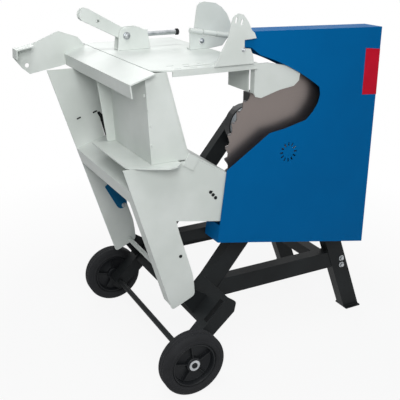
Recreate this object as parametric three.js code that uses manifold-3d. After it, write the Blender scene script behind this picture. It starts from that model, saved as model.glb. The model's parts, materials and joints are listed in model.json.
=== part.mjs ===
// Tilting cradle saw for firewood. A black tube base on two wheels carries a blue
// blade guard with the motor behind it, and a white sheet cradle that tilts toward the blade.
// Lengths are millimetres. X runs toward the blade, Y away from the open front, Z up.
// x is counted from the wheel axle, y from the outer face of the front wheel.

import * as THREE from 'three';
import { mergeVertices } from 'three/addons/utils/BufferGeometryUtils.js';
import Module from 'manifold-3d';

const wasm = await Module();
wasm.setup();

// Fits shared by all pieces
const seatGap = 0.3;
const runGap = 1;
const cutReach = 3000;
const quarterTurn = 90;

// Wheels and axle
const wheelDiameter = 200;
const wheelWidth = 52;
const tyreHeight = 30;
const trackWidth = 697;
const axleDiameter = 18;
const hubDiameter = 46;
const wheelWebThickness = 5;
const hubInset = 8;
const hubWasherThickness = 3;
const hubWasherDiameter = 34;
const rimRibCount = 5;

// Base frame of rectangular tube
const tubeWidth = 60;
const tubeDepth = 40;
const tubeWall = 3;
const frontFrameY = 200;
const wheelSideGap = 4.7;
const beamBottomZ = 184;
const diagonalFootX = 117;
const diagonalAngle = 50.9;
const diagonalLength = 620;
const legFootX = 747;
const legLean = 20.8;
const footSize = 62;
const footThickness = 5;
const crossTubeWidth = 30;
const rightCrossX = 610;
const rightCrossWidth = 40;
const armHeight = 35;
const armBottomZ = 402;
const armEndX = 51;

// Wheel brackets, folded from sheet
const bracketGauge = 5;
const bracketRise = 14;
const bracketRidgeAlong = 74.8;
const bracketWebLength = 116;
const bracketOuterY = 60;
const bracketWidth = 48;
const bracketFlangeDepth = 48;
const bracketRounding = 26;
const bracketTopReach = 22;
const bracketSlotLength = 80;
const bracketSlotWidth = 20;

// Cradle pivot
const pivotX = 38;
const pivotZ = 262;
const pivotShaftDiameter = 16;
const pivotLugThickness = 6;
const pivotLugRadius = 18;
const pivotLugFoot = 70;
const pivotBushLength = 12;
const pivotBushWall = 5;
const pivotShaftEnd = 8;

// Blade guard
const guardLeftX = 136;
const guardBottomZ = 306;
const guardWidth = 558;
const guardHeight = 721;
const guardSheet = 2;
const guardBackSheet = 3;
const guardFrontY = 120;
const guardTopRise = 86;
const guardArcGap = 21.1676;
const guardLeftWallTopZ = 470;
const guardOutletWidth = 260;
const guardOutletDepth = 46;
const ventX = 375;
const ventRadius = 30;
const ventSlotLength = 11;
const ventSlotWidth = 4.5;
const ventSlotCount = 12;

// Blade and arbor
const arborX = 427;
const arborZ = 665;
const bladeDiameter = 505;
const bladeThickness = 3.2;
const bladeY = 155;
const toothCount = 44;
const toothHeight = 11;
const arborDiameter = 25;
const flangeDiameter = 100;
const flangeThickness = 9;
const arborNutWidth = 32;
const arborNutThickness = 14;

// Motor and switch box
const bearingDiameter = 58;
const motorDiameter = 140;
const motorFlangeThickness = 11;
const motorTailRoom = 110.7;
const motorFinCount = 24;
const motorFinDepth = 5;
const motorFootWidth = 100;
const motorFootHeight = 12;
const motorPlateLength = 122;
const motorPlateGauge = 5;
const fanCoverLength = 42;
const fanCoverGauge = 2.5;
const fanSlotCount = 10;
const switchBoxWidth = 90;
const switchBoxDepth = 104;
const switchBoxHeight = 60;
const switchBoxWall = 3;
const buttonDiameter = 22;
const buttonProud = 7;
const buttonTravel = 4;
const buttonSpacing = 44;
const inletDiameter = 46;
const inletLength = 34;

// Cradle, folded from sheet
const cradleGauge = 4;
const cradleFrontY = 126;
const cradleSideGap = 0.7;
const troughHeight = 444;
const troughTopGap = 1.326074;
const troughWallLean = 15.2;
const troughFloorLength = 206;
const troughFloorFall = 32;
const sideEdgeLean = 16.8;
const legFlangeDepth = 46;
const channelRise = 18;
const channelFromFoot = 412;
const channelFlangeDepth = 50;
const lipTopZ = 690;
const lipLeftX = -140;
const lipReach = 51;
const lipLength = 270;
const outerWallFootX = -69;
const outerWallLean = 3.1;
const ribWidth = 26;
const plateHoleDiameter = 7;
const slotFrontY = 149;
const slotWidth = 12;
const wallBridge = 66;
const tabLength = 40;
const tabDepth = 34;

// Top of the cradle
const topPlateZ = 941;
const topPlateLeftX = -59;
const topPlateRightX = 255;
const topPlateOverhang = 89;
const topPlateFrontY = 120;
const topLipDepth = 18;
const topSlotLength = 22;
const topSlotWidth = 7;
const topSlotPitch = 46;
const topSlotCount = 6;
const topSlotFirstX = 16;
const topSlotInset = 14;
const topSlotBackInset = 62;
const beamFoldX = -133;
const beamFoldZ = 917;
const beamFlangeDepth = 36;
const beamFrontY = 105;
const beamOverhang = 61;
const hoodWallDrop = 89;
const hoodWallBackY = 273;
const hoodArmReach = 155;
const handleReach = 230;

// Work stops and clamp on the top plate
const slottedArmLeftX = 114;
const slottedArmY = 110;
const slottedArmHeight = 136;
const slottedArmWidth = 129;
const slottedArmFootDepth = 33;
const stopBracketY = 400;
const stopHingeX = 188;
const stopHingeZ = 999;
const stopHingeFall = 9.7;
const stopFlapWidth = 136;
const hingePinDiameter = 8;
const clampY = 500;
const clampPivotX = 15;
const clampPivotZ = 984;
const clampWidth = 32;
const clampGauge = 4;
const clampPinDiameter = 10;
const leverLength = 160;
const leverAngle = 152;
const leverWidth = 40;
const camRadius = 22;
const camOffset = 8;
const rodDiameter = 15;
const rodReach = 171;
const rodTipDiameter = 20;
const rodTipLength = 10;
const guideWidth = 18;
const guideInset = 20;

// Blue brace inside the back leg
const braceLength = 108;
const braceWidth = 42;
const braceLean = 122;

const faces = { tyre: 32, wheel: 40, round: 20, small: 12 };

const finishes = {
  blackPaint: { color: '#232524', roughness: 0.55, metalness: 0.25 },
  whitePaint: { color: '#d6dad6', roughness: 0.42, metalness: 0.1 },
  bluePaint: { color: '#00589a', roughness: 0.38, metalness: 0.15 },
  navyPaint: { color: '#0f5580', roughness: 0.45, metalness: 0.2 },
  rubber: { color: '#2b2c2e', roughness: 0.9, metalness: 0 },
  blackPlastic: { color: '#1c1d1f', roughness: 0.6, metalness: 0 },
  motorGrey: { color: '#8b9094', roughness: 0.45, metalness: 0.6 },
  zinc: { color: '#b9bcbd', roughness: 0.35, metalness: 0.85 },
  bladeSteel: { color: '#a9a6a2', roughness: 0.28, metalness: 0.95 },
  green: { color: '#1f8f3c', roughness: 0.4, metalness: 0 },
  red: { color: '#c01a22', roughness: 0.4, metalness: 0 },
};

// Geometry helpers

function radians(degrees) {
  return THREE.MathUtils.degToRad(degrees);
}

function solid(geometry) {
  const bare = geometry.index ? geometry.toNonIndexed() : geometry.clone();
  bare.deleteAttribute('normal');
  bare.deleteAttribute('uv');
  const merged = mergeVertices(bare);
  return new wasm.Manifold(new wasm.Mesh({
    numProp: 3,
    vertProperties: Float32Array.from(merged.attributes.position.array),
    triVerts: Uint32Array.from(merged.index.array),
  }));
}

function join(first, ...others) {
  return others.reduce((whole, other) => whole.add(other), first);
}

function cut(first, ...tools) {
  return tools.reduce((whole, tool) => whole.subtract(tool), first);
}

// A sheet that stands in the XZ plane and is thick along Y.
function plate(outline, y, thickness, holes = []) {
  const points = outline.map(([x, z]) => new THREE.Vector2(x, z));
  if (THREE.ShapeUtils.isClockWise(points)) points.reverse();
  const shape = new THREE.Shape(points);
  shape.holes = holes.map((hole) => new THREE.Path(hole.map(([x, z]) => new THREE.Vector2(x, z))));
  const geometry = new THREE.ExtrudeGeometry(shape, { depth: thickness, bevelEnabled: false });
  geometry.rotateX(Math.PI / 2);
  geometry.translate(0, y + thickness, 0);
  return solid(geometry);
}

// A level sheet with its outline in XY.
function levelSheet(outline, z, thickness) {
  const points = outline.map(([x, y]) => new THREE.Vector2(x, y));
  const shape = new THREE.Shape(points);
  const geometry = new THREE.ExtrudeGeometry(shape, { depth: thickness, bevelEnabled: false });
  geometry.translate(0, 0, z);
  return solid(geometry);
}

function block(x, y, z, sizeX, sizeY, sizeZ) {
  const geometry = new THREE.BoxGeometry(sizeX, sizeY, sizeZ);
  geometry.translate(x + sizeX / 2, y + sizeY / 2, z + sizeZ / 2);
  return solid(geometry);
}

// A round bar between two points in space.
function bar(from, to, diameter, sides = faces.round) {
  const start = new THREE.Vector3(...from);
  const run = new THREE.Vector3(...to).sub(start);
  const geometry = new THREE.CylinderGeometry(diameter / 2, diameter / 2, run.length(), sides);
  geometry.translate(0, run.length() / 2, 0);
  const upright = new THREE.Vector3(0, 1, 0);
  const turn = new THREE.Quaternion().setFromUnitVectors(upright, run.clone().normalize());
  geometry.applyQuaternion(turn);
  geometry.translate(start.x, start.y, start.z);
  return solid(geometry);
}

function barAlongY([x, z], diameter, yFrom, yTo, sides = faces.round) {
  return bar([x, yFrom, z], [x, yTo, z], diameter, sides);
}

// A turned piece about a Y axis; the profile lists radius and y.
function turned(profile, [x, z], sides = faces.round) {
  const points = profile.map(([radius, y]) => new THREE.Vector2(radius, y));
  if (THREE.ShapeUtils.isClockWise(points)) points.reverse();
  const geometry = new THREE.LatheGeometry([...points, points[0]], sides);
  geometry.translate(x, 0, z);
  return solid(geometry);
}

function circle([x, z], radius, sides) {
  return Array.from({ length: sides }, (_, i) => {
    const turn = (2 * Math.PI * i) / sides;
    return [x + radius * Math.cos(turn), z + radius * Math.sin(turn)];
  });
}

// Points on an arc about a centre; angles are clockwise from straight up.
function arcFromTop([x, z], radius, startDegrees, endDegrees, steps) {
  return Array.from({ length: steps + 1 }, (_, i) => {
    const turn = radians(startDegrees + ((endDegrees - startDegrees) * i) / steps);
    return [x + radius * Math.sin(turn), z + radius * Math.cos(turn)];
  });
}

// A place finder for a slanted line: counts along the line and to its left side.
function slanted([x, z], degrees) {
  const [run, rise] = [Math.cos(radians(degrees)), Math.sin(radians(degrees))];
  return (along, aside) => [x + along * run - aside * rise, z + along * rise + aside * run];
}

function band(place, alongFrom, alongTo, asideFrom, asideTo) {
  return [
    place(alongFrom, asideFrom),
    place(alongTo, asideFrom),
    place(alongTo, asideTo),
    place(alongFrom, asideTo),
  ];
}

function cutBand(place, alongFrom, alongTo, asideFrom, asideTo) {
  return plate(band(place, alongFrom, alongTo, asideFrom, asideTo), -cutReach, 2 * cutReach);
}

// Corners with a third value are rounded to that radius.
function rounded(corners, steps = 4) {
  return corners.flatMap(([x, z, radius = 0], i) => {
    if (radius === 0) return [[x, z]];
    const corner = new THREE.Vector2(x, z);
    const before = corners.at(i - 1);
    const after = corners[(i + 1) % corners.length];
    const toBefore = new THREE.Vector2(before[0], before[1]).sub(corner).normalize();
    const toAfter = new THREE.Vector2(after[0], after[1]).sub(corner).normalize();
    const half = Math.acos(THREE.MathUtils.clamp(toBefore.dot(toAfter), -1, 1)) / 2;
    const inward = toBefore.clone().add(toAfter).normalize();
    const centre = inward.multiplyScalar(radius / Math.sin(half)).add(corner);
    const start = toBefore.clone().multiplyScalar(radius / Math.tan(half)).add(corner).sub(centre);
    const sweep = Math.sign(toBefore.cross(start)) * (Math.PI - 2 * half);
    return Array.from({ length: steps + 1 }, (_, k) => {
      const turn = start.angle() + (sweep * k) / steps;
      return [centre.x + radius * Math.cos(turn), centre.y + radius * Math.sin(turn)];
    });
  });
}

// The path moved sideways to its left, with mitred corners.
function offsetPath(path, distance) {
  const normals = path.slice(1).map(([x, z], i) => {
    const run = new THREE.Vector2(x - path[i][0], z - path[i][1]).normalize();
    return new THREE.Vector2(-run.y, run.x);
  });
  return path.map(([x, z], i) => {
    const before = normals[Math.max(i - 1, 0)];
    const after = normals[Math.min(i, normals.length - 1)];
    const scale = distance / (1 + before.dot(after));
    return [x + (before.x + after.x) * scale, z + (before.y + after.y) * scale];
  });
}

// A folded sheet: the path is one face, and the gauge goes to its left.
function folded(path, gauge, y, depth) {
  return plate([...path, ...offsetPath(path, gauge).reverse()], y, depth);
}

function crossing([x, z], angle, [otherX, otherZ], otherAngle) {
  const [a, b] = [radians(angle), radians(otherAngle)];
  const spread = Math.sin(b - a);
  const along = ((otherX - x) * Math.sin(b) - (otherZ - z) * Math.cos(b)) / spread;
  return [x + along * Math.cos(a), z + along * Math.sin(a)];
}

function slotOutline(place, length, width) {
  const half = (length - width) / 2;
  return rounded([
    [...place(-half - width / 2, -width / 2), width * 0.49],
    [...place(half + width / 2, -width / 2), width * 0.49],
    [...place(half + width / 2, width / 2), width * 0.49],
    [...place(-half - width / 2, width / 2), width * 0.49],
  ], 3);
}

const group = new THREE.Group();

function add(name, piece, finish) {
  const raw = piece.getMesh();
  const geometry = new THREE.BufferGeometry();
  geometry.setAttribute('position', new THREE.BufferAttribute(Float32Array.from(raw.vertProperties), 3));
  geometry.setIndex(new THREE.BufferAttribute(Uint32Array.from(raw.triVerts), 1));
  const flat = geometry.toNonIndexed();
  flat.computeVertexNormals();
  const mesh = new THREE.Mesh(flat, new THREE.MeshStandardMaterial(finishes[finish]));
  mesh.name = name;
  group.add(mesh);
}

// Places that several pieces share

const axle = [0, wheelDiameter / 2];
const pivot = [pivotX, pivotZ];
const arbor = [arborX, arborZ];
const backFlangeY = trackWidth - wheelWidth - wheelSideGap - bracketGauge;
const backFrameY = backFlangeY - seatGap - tubeDepth;
const halfTube = tubeWidth / 2;
const onDiagonal = slanted([diagonalFootX, beamBottomZ], diagonalAngle);
const onLeg = slanted([legFootX, 0], 90 + legLean);

const ridge = onDiagonal(bracketRidgeAlong, halfTube);
const ridgeRun = Math.hypot(ridge[0] - axle[0], ridge[1] - axle[1]);
const ridgeAngle = THREE.MathUtils.radToDeg(Math.atan2(ridge[1] - axle[1], ridge[0] - axle[0]));
const bracketAngle = ridgeAngle - THREE.MathUtils.radToDeg(Math.asin(bracketRise / ridgeRun));
const bracketReach = Math.sqrt(ridgeRun ** 2 - bracketRise ** 2);
const onBracket = slanted(axle, bracketAngle);
const webFoot = bracketReach - bracketWebLength;
const webUnder = bracketRise - bracketGauge;

const frontInnerFlangeY = bracketOuterY + bracketWidth - bracketGauge;
const backOuterFlangeY = backFlangeY;
const backInnerFlangeY = backFrameY - seatGap - bracketGauge;

// Wheels

function wheelPlaces(y) {
  const outer = wheelDiameter / 2;
  const half = wheelWidth / 2;
  return { outer, inner: outer - tyreHeight, middle: y + half, half };
}

function addTyre(name, y) {
  const { outer, inner, middle, half } = wheelPlaces(y);
  const bulge = half * 0.92;
  const tread = half * 0.66;
  const groove = tyreHeight * 0.08;
  const piece = turned([
    [inner, middle - half * 0.8],
    [inner, middle + half * 0.8],
    [inner + tyreHeight * 0.3, middle + half],
    [outer - tyreHeight * 0.3, middle + bulge],
    [outer, middle + tread],
    [outer, middle + tread * 0.25],
    [outer - groove, middle + tread * 0.15],
    [outer - groove, middle - tread * 0.15],
    [outer, middle - tread * 0.25],
    [outer, middle - tread],
    [outer - tyreHeight * 0.3, middle - bulge],
    [inner + tyreHeight * 0.3, middle - half],
  ], axle, faces.wheel);
  add(name, piece, 'rubber');
}

// A moulded rim: web, hub tube and felloe in one section, with radial ribs.
function addRim(name, y) {
  const { inner, middle, half } = wheelPlaces(y);
  const felloe = inner - seatGap;
  const wall = wheelWebThickness;
  const bore = axleDiameter / 2 + runGap / 2;
  const hub = hubDiameter / 2;
  const lip = half * 0.78;
  const hubHalf = half - hubInset;
  const section = turned([
    [bore, middle - hubHalf],
    [bore, middle + hubHalf],
    [hub, middle + hubHalf],
    [hub, middle + wall / 2],
    [felloe - wall, middle + wall / 2],
    [felloe - wall, middle + lip],
    [felloe, middle + lip],
    [felloe, middle - lip],
    [felloe - wall, middle - lip],
    [felloe - wall, middle - wall / 2],
    [hub, middle - wall / 2],
    [hub, middle - hubHalf],
  ], axle, faces.wheel);
  const ribLength = felloe - wall / 2 - hub * 0.9;
  const ribs = Array.from({ length: rimRibCount }, (_, i) => {
    const place = slanted(axle, (360 * i) / rimRibCount);
    const outline = band(place, hub * 0.9, hub * 0.9 + ribLength, -wall / 2, wall / 2);
    return plate(outline, middle - half * 0.7, half * 1.4);
  });
  add(name, join(section, ...ribs), 'blackPlastic');
}

function addAxle() {
  const end = hubInset - 2 * hubWasherThickness;
  add('axle', barAlongY(axle, axleDiameter, end, trackWidth - end), 'blackPaint');
}

// The push-on washers sit in the hub mouths, just outside the rims.
function addHubWasher(name, y) {
  const ring = cut(
    barAlongY(axle, hubWasherDiameter, y, y + hubWasherThickness),
    barAlongY(axle, axleDiameter + 2 * seatGap, y - runGap, y + hubWasherThickness + runGap),
  );
  add(name, ring, 'zinc');
}

function addWheels() {
  const backWheelY = trackWidth - wheelWidth;
  const washerInset = hubInset - hubWasherThickness - seatGap;
  addTyre('front_tyre', 0);
  addRim('front_rim', 0);
  addTyre('back_tyre', backWheelY);
  addRim('back_rim', backWheelY);
  addAxle();
  addHubWasher('front_hub_washer', washerInset);
  addHubWasher('back_hub_washer', trackWidth - washerInset - hubWasherThickness);
}

// Base frame

function hollowTube(place, from, to, width, y, depth) {
  const outer = plate(band(place, from, to, -width / 2, width / 2), y, depth);
  const inside = width / 2 - tubeWall;
  const bore = plate(
    band(place, from - cutReach, to + cutReach, -inside, inside),
    y + tubeWall,
    depth - 2 * tubeWall,
  );
  return cut(outer, bore);
}

function addBeam(name, y) {
  const level = slanted([0, beamBottomZ + halfTube], 0);
  const beam = cut(
    hollowTube(level, 0, legFootX, tubeWidth, y, tubeDepth),
    cutBand(onDiagonal, -cutReach, cutReach, -halfTube - seatGap, cutReach),
    cutBand(onLeg, -cutReach, cutReach, -cutReach, halfTube + seatGap),
  );
  add(name, beam, 'blackPaint');
}

function addDiagonal(name, y) {
  const level = slanted([0, beamBottomZ], 0);
  const diagonal = cut(
    hollowTube(onDiagonal, -tubeWidth, diagonalLength, tubeWidth, y, tubeDepth),
    cutBand(level, -cutReach, cutReach, -cutReach, 0),
    cutBand(onBracket, -cutReach, bracketReach + seatGap, webUnder - seatGap, cutReach),
    cutBand(onBracket, -cutReach, webFoot + crossTubeWidth + seatGap, -cutReach, cutReach),
  );
  add(name, diagonal, 'blackPaint');
}

function addLeg(name, y) {
  const level = slanted([0, footThickness / 2], 0);
  const leg = cut(
    hollowTube(onLeg, -tubeWidth, diagonalLength + tubeWidth, tubeWidth, y, tubeDepth),
    cutBand(level, -cutReach, cutReach, -cutReach, 0),
    cutBand(onDiagonal, -cutReach, cutReach, -halfTube - seatGap, cutReach),
  );
  const footY = y + (tubeDepth - footSize) / 2;
  const foot = block(legFootX - footSize / 2, footY, 0, footSize, footSize, footThickness);
  add(name, join(leg, foot), 'blackPaint');
}

function addRestArm(name, y) {
  const level = slanted([0, armBottomZ + armHeight / 2], 0);
  const arm = cut(
    hollowTube(level, armEndX, legFootX, armHeight, y, armHeight),
    cutBand(onDiagonal, -cutReach, cutReach, -cutReach, halfTube + seatGap),
  );
  add(name, arm, 'blackPaint');
}

function addSideFrame(side, y) {
  addBeam(`${side}_beam`, y);
  addDiagonal(`${side}_diagonal`, y);
  addLeg(`${side}_leg`, y);
  addRestArm(`${side}_rest_arm`, y);
}

function addCrossTubes() {
  const leftFrom = frontInnerFlangeY + bracketGauge + seatGap;
  const leftTo = backInnerFlangeY - seatGap;
  const outline = band(
    onBracket,
    webFoot,
    webFoot + crossTubeWidth,
    webUnder - seatGap - crossTubeWidth,
    webUnder - seatGap,
  );
  const bore = band(
    onBracket,
    webFoot + tubeWall,
    webFoot + crossTubeWidth - tubeWall,
    webUnder - seatGap - crossTubeWidth + tubeWall,
    webUnder - seatGap - tubeWall,
  );
  add('left_cross_tube', plate(outline, leftFrom, leftTo - leftFrom, [bore]), 'blackPaint');

  const rightFrom = frontFrameY + tubeDepth + seatGap;
  const rightTo = backFrameY - seatGap;
  const half = rightCrossWidth / 2;
  const middle = slanted([rightCrossX, beamBottomZ + halfTube], 0);
  const rightOutline = band(middle, -half, half, -half, half);
  const rightBore = band(middle, tubeWall - half, half - tubeWall, tubeWall - half, half - tubeWall);
  add('right_cross_tube', plate(rightOutline, rightFrom, rightTo - rightFrom, [rightBore]), 'blackPaint');
}

// The outline of a bracket flange: round about the axle, straight along the web.
function flangeOutline(length) {
  const lower = bracketRise - bracketFlangeDepth;
  const round = Array.from({ length: 9 }, (_, i) => {
    const start = 3 * quarterTurn;
    const end = 2 * quarterTurn - THREE.MathUtils.radToDeg(Math.asin(bracketRise / bracketRounding));
    const turn = radians(bracketAngle + start + ((end - start) * i) / 8);
    return [axle[0] + bracketRounding * Math.cos(turn), axle[1] + bracketRounding * Math.sin(turn)];
  });
  const top = onBracket(length, bracketRise);
  const tipPlace = onBracket(length + bracketGauge, bracketRise - bracketTopReach * 1.6);
  const tip = [...tipPlace, bracketTopReach / 2];
  const heel = [...onBracket(length - bracketTopReach, lower - bracketGauge), bracketTopReach / 4];
  return rounded([...round, top, tip, heel]);
}

function addBracket(side, outerY, innerY, webFrom, webTo) {
  const axleHole = barAlongY(axle, axleDiameter + 2 * seatGap, outerY - cutReach, outerY + cutReach);
  const narrowFrom = Math.min(outerY, innerY);
  const narrowTo = Math.max(outerY, innerY) + bracketGauge;
  const start = -bracketRounding * 0.5;
  const slotFrom = side === 'front' ? outerY + bracketGauge + runGap : outerY - bracketSlotWidth - runGap;
  const slotStart = webFoot + (bracketWebLength - bracketSlotLength) / 2;
  const slot = plate(
    band(onBracket, slotStart, slotStart + bracketSlotLength, -cutReach, cutReach),
    slotFrom,
    bracketSlotWidth,
  );
  const innerReach = bracketReach - bracketTopReach;
  const narrowWeb = band(onBracket, start, webFoot + bracketGauge, webUnder, bracketRise);
  const wideWeb = band(onBracket, webFoot, bracketReach, webUnder, bracketRise);
  const pieces = [
    plate(flangeOutline(bracketReach), outerY, bracketGauge),
    plate(flangeOutline(innerReach), innerY, bracketGauge),
    plate(narrowWeb, narrowFrom, narrowTo - narrowFrom),
    cut(plate(wideWeb, webFrom, webTo - webFrom), slot),
  ];
  add(`${side}_wheel_bracket`, cut(join(...pieces), axleHole), 'blackPaint');
}

function addBrackets() {
  addBracket('front', bracketOuterY, frontInnerFlangeY, bracketOuterY, frontFrameY + tubeDepth);
  addBracket('back', backOuterFlangeY, backInnerFlangeY, backInnerFlangeY, backOuterFlangeY + bracketGauge);
}

// Cradle pivot: lugs on the bracket webs, a fixed shaft, and bushes on the cradle

const cradleBackY = backInnerFlangeY - cradleSideGap;
const cradleWidth = cradleBackY - cradleFrontY;
const frontLugY = cradleFrontY + cradleGauge + pivotBushLength + 2 * runGap;
const backLugY = cradleBackY + pivotBushLength + 2 * runGap;

function addPivotLug(name, y) {
  const [run, rise] = [Math.cos(radians(bracketAngle)), Math.sin(radians(bracketAngle))];
  const foot = (pivot[0] - axle[0]) * run + (pivot[1] - axle[1]) * rise;
  const height = (pivot[1] - axle[1]) * run - (pivot[0] - axle[0]) * rise;
  const seat = bracketRise + seatGap;
  const half = pivotLugFoot / 2;
  const outline = rounded([
    onBracket(foot - half, seat),
    onBracket(foot + half, seat),
    [...onBracket(foot + pivotLugRadius, height + pivotLugRadius), pivotLugRadius * 0.95],
    [...onBracket(foot - pivotLugRadius, height + pivotLugRadius), pivotLugRadius * 0.95],
  ], 5);
  const hole = circle(pivot, pivotShaftDiameter / 2 + seatGap, faces.round);
  add(name, plate(outline, y, pivotLugThickness, [hole]), 'blackPaint');
}

function addPivot() {
  addPivotLug('front_pivot_lug', frontLugY);
  addPivotLug('back_pivot_lug', backLugY);
  const from = cradleFrontY + cradleGauge + runGap;
  const to = backLugY + pivotLugThickness + pivotShaftEnd;
  add('pivot_shaft', barAlongY(pivot, pivotShaftDiameter, from, to), 'zinc');
}

function pivotBush(y) {
  const bore = circle(pivot, pivotShaftDiameter / 2 + runGap / 2, faces.round);
  const outside = circle(pivot, pivotShaftDiameter / 2 + pivotBushWall, faces.round);
  return plate(outside, y, pivotBushLength + cradleGauge / 2, [bore]);
}

// Blade guard

const guardBackY = frontFrameY - seatGap - guardBackSheet;
const guardRimY = guardFrontY + guardSheet + seatGap;
const guardRimDepth = guardBackY - seatGap - guardRimY;
const onGuard = ([shareX, shareZ]) => [
  guardLeftX + shareX * guardWidth,
  guardBottomZ + shareZ * guardHeight,
];

// The cut-out follows the swept path of the top plate, whatever the height of the guard.
const openingRise = topPlateZ + guardTopRise - guardBottomZ;
const guardArcRadius = Math.hypot(topPlateRightX - pivotX, topPlateZ - pivotZ) + guardArcGap;
const onOpening = ([shareX, shareZ]) => [
  guardLeftX + shareX * guardWidth,
  guardBottomZ + shareZ * openingRise,
];

const guardCornerShares = [[0.136, 1], [1, 0.982], [1, 0], [0, 0.155]];
const cutTopShares = [[0.05, 0.945], [0.124, 0.944], [0.175, 0.939]];
const cutEndShares = [[0.607, 0.757], [0.615, 0.725], [0.604, 0.69], [0.574, 0.656], [0.534, 0.626]];
const cutBottomShares = [[0.4, 0.601], [0.305, 0.591], [-0.1, 0.385], [-0.1, 0.945]];
const guardArcAngles = [18, 34.6];

function guardOutline() {
  return guardCornerShares.map(onGuard);
}

function guardOpening() {
  return [
    ...cutTopShares.map(onOpening),
    ...arcFromTop(pivot, guardArcRadius, guardArcAngles[0], guardArcAngles[1], 10),
    ...cutEndShares.map(onOpening),
    ...cutBottomShares.map(onOpening),
  ];
}

function ventSlots() {
  return Array.from({ length: ventSlotCount }, (_, i) => {
    const place = slanted([ventX, arborZ], (360 * i) / ventSlotCount);
    const half = ventSlotWidth / 2;
    const outline = band(place, ventRadius - ventSlotLength, ventRadius, -half, half);
    return plate(outline, guardFrontY - guardSheet, 3 * guardSheet);
  });
}

function addGuardFront() {
  const panel = cut(
    plate(guardOutline(), guardFrontY, guardSheet),
    plate(guardOpening(), guardFrontY - guardSheet, 3 * guardSheet),
    ...ventSlots(),
  );
  add('guard_front_panel', panel, 'bluePaint');
}

function inset(outline, distance) {
  const loop = [...outline, outline[0], outline[1]];
  return offsetPath(loop, distance).slice(1, outline.length + 1);
}

function addGuardRim() {
  const outline = guardOutline();
  const inside = inset(outline, -guardSheet);
  const openTop = onOpening(cutTopShares[0])[1];
  const wallOpening = block(
    guardLeftX - guardWidth,
    guardRimY - guardSheet,
    guardLeftWallTopZ,
    guardWidth * 1.3,
    guardRimDepth * 2,
    openTop - guardLeftWallTopZ,
  );
  const outlet = block(
    arborX - guardOutletWidth / 2,
    guardRimY + (guardRimDepth - guardOutletDepth) / 2,
    guardBottomZ,
    guardOutletWidth,
    guardOutletDepth,
    guardHeight * 0.25,
  );
  const rim = cut(plate(outline, guardRimY, guardRimDepth, [inside]), wallOpening, outlet);
  add('guard_rim', rim, 'bluePaint');
}

// The back panel clears the whole sweep of the trough and the top of the cradle.
function addGuardBack() {
  const sweepRadius = Math.hypot(...troughFloorEnd().map((value, i) => value - pivot[i])) - 3 * cradleGauge;
  const lobe = arcFromTop(arbor, bearingDiameter, -150, -5, 8).reverse();
  const backEndShares = [[0.626, 0.757], [0.64, 0.72], [0.62, 0.645]];
  const opening = [
    ...cutTopShares.map(onOpening),
    ...arcFromTop(pivot, guardArcRadius, guardArcAngles[0], guardArcAngles[1], 10),
    ...backEndShares.map(onOpening),
    ...lobe.slice(1),
    ...arcFromTop(pivot, sweepRadius, 47, 15, 8),
    onOpening([-0.1, 0.4]),
    onOpening(cutBottomShares.at(-1)),
  ];
  const panel = cut(
    plate(guardOutline(), guardBackY, guardBackSheet),
    plate(opening, guardBackY - guardSheet, 3 * guardBackSheet),
    barAlongY(arbor, arborDiameter + 4 * runGap, guardFrontY, frontFrameY),
  );
  add('guard_back_panel', panel, 'bluePaint');
}

// Blade, its flanges, nut and shaft

function bladeOutline() {
  const pitch = 360 / toothCount;
  const tip = bladeDiameter / 2;
  const gullet = tip - toothHeight;
  const toothShares = [[0, 1], [0.1, 0.12], [0.34, 0], [0.62, 0.45], [0.82, 0.94]];
  return Array.from({ length: toothCount }).flatMap((_, i) => toothShares.map(([turn, height]) => {
    const angle = radians((i + turn) * pitch);
    const radius = gullet + height * toothHeight;
    return [arbor[0] + radius * Math.sin(angle), arbor[1] + radius * Math.cos(angle)];
  }));
}

function addBlade() {
  const face = bladeY - bladeThickness / 2;
  const back = bladeY + bladeThickness / 2;
  const bore = circle(arbor, arborDiameter / 2 + seatGap, faces.round);
  add('saw_blade', plate(bladeOutline(), face, bladeThickness, [bore]), 'bladeSteel');

  const flange = (y) => plate(circle(arbor, flangeDiameter / 2, 28), y, flangeThickness, [bore]);
  add('outer_blade_flange', flange(face - seatGap - flangeThickness), 'zinc');
  add('inner_blade_flange', flange(back + seatGap), 'zinc');

  const nutY = face - 2 * seatGap - flangeThickness - arborNutThickness;
  const corner = arborNutWidth / Math.sqrt(3);
  add('arbor_nut', plate(circle(arbor, corner, 6), nutY, arborNutThickness, [bore]), 'zinc');
  const shaftFrom = nutY - runGap;
  const shaftTo = frontFrameY + tubeDepth + motorFlangeThickness;
  add('arbor_shaft', barAlongY(arbor, arborDiameter, shaftFrom, shaftTo), 'zinc');
}

// Motor, mounted on a plate between the two diagonals

const motorFrontY = frontFrameY + tubeDepth + runGap;
const motorBodyY = motorFrontY + motorFlangeThickness + seatGap;
const motorLength = backFrameY - motorTailRoom - fanCoverLength - motorBodyY;
const motorAlong = (arborX - diagonalFootX) * Math.cos(radians(diagonalAngle))
  + (arborZ - beamBottomZ) * Math.sin(radians(diagonalAngle));
const motorAside = (arborZ - beamBottomZ) * Math.cos(radians(diagonalAngle))
  - (arborX - diagonalFootX) * Math.sin(radians(diagonalAngle));
const motorPlateTop = motorAside - motorDiameter / 2 - seatGap;

function addMotorPlate() {
  const half = motorPlateLength / 2;
  const centre = Math.min(motorAlong, diagonalLength - half - motorPlateGauge);
  const under = motorPlateTop - motorPlateGauge;
  const outline = band(onDiagonal, centre - half, centre + half, under, motorPlateTop);
  const from = frontFrameY + tubeDepth + seatGap;
  add('motor_plate', plate(outline, from, backFrameY - seatGap - from), 'blackPaint');
}

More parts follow.
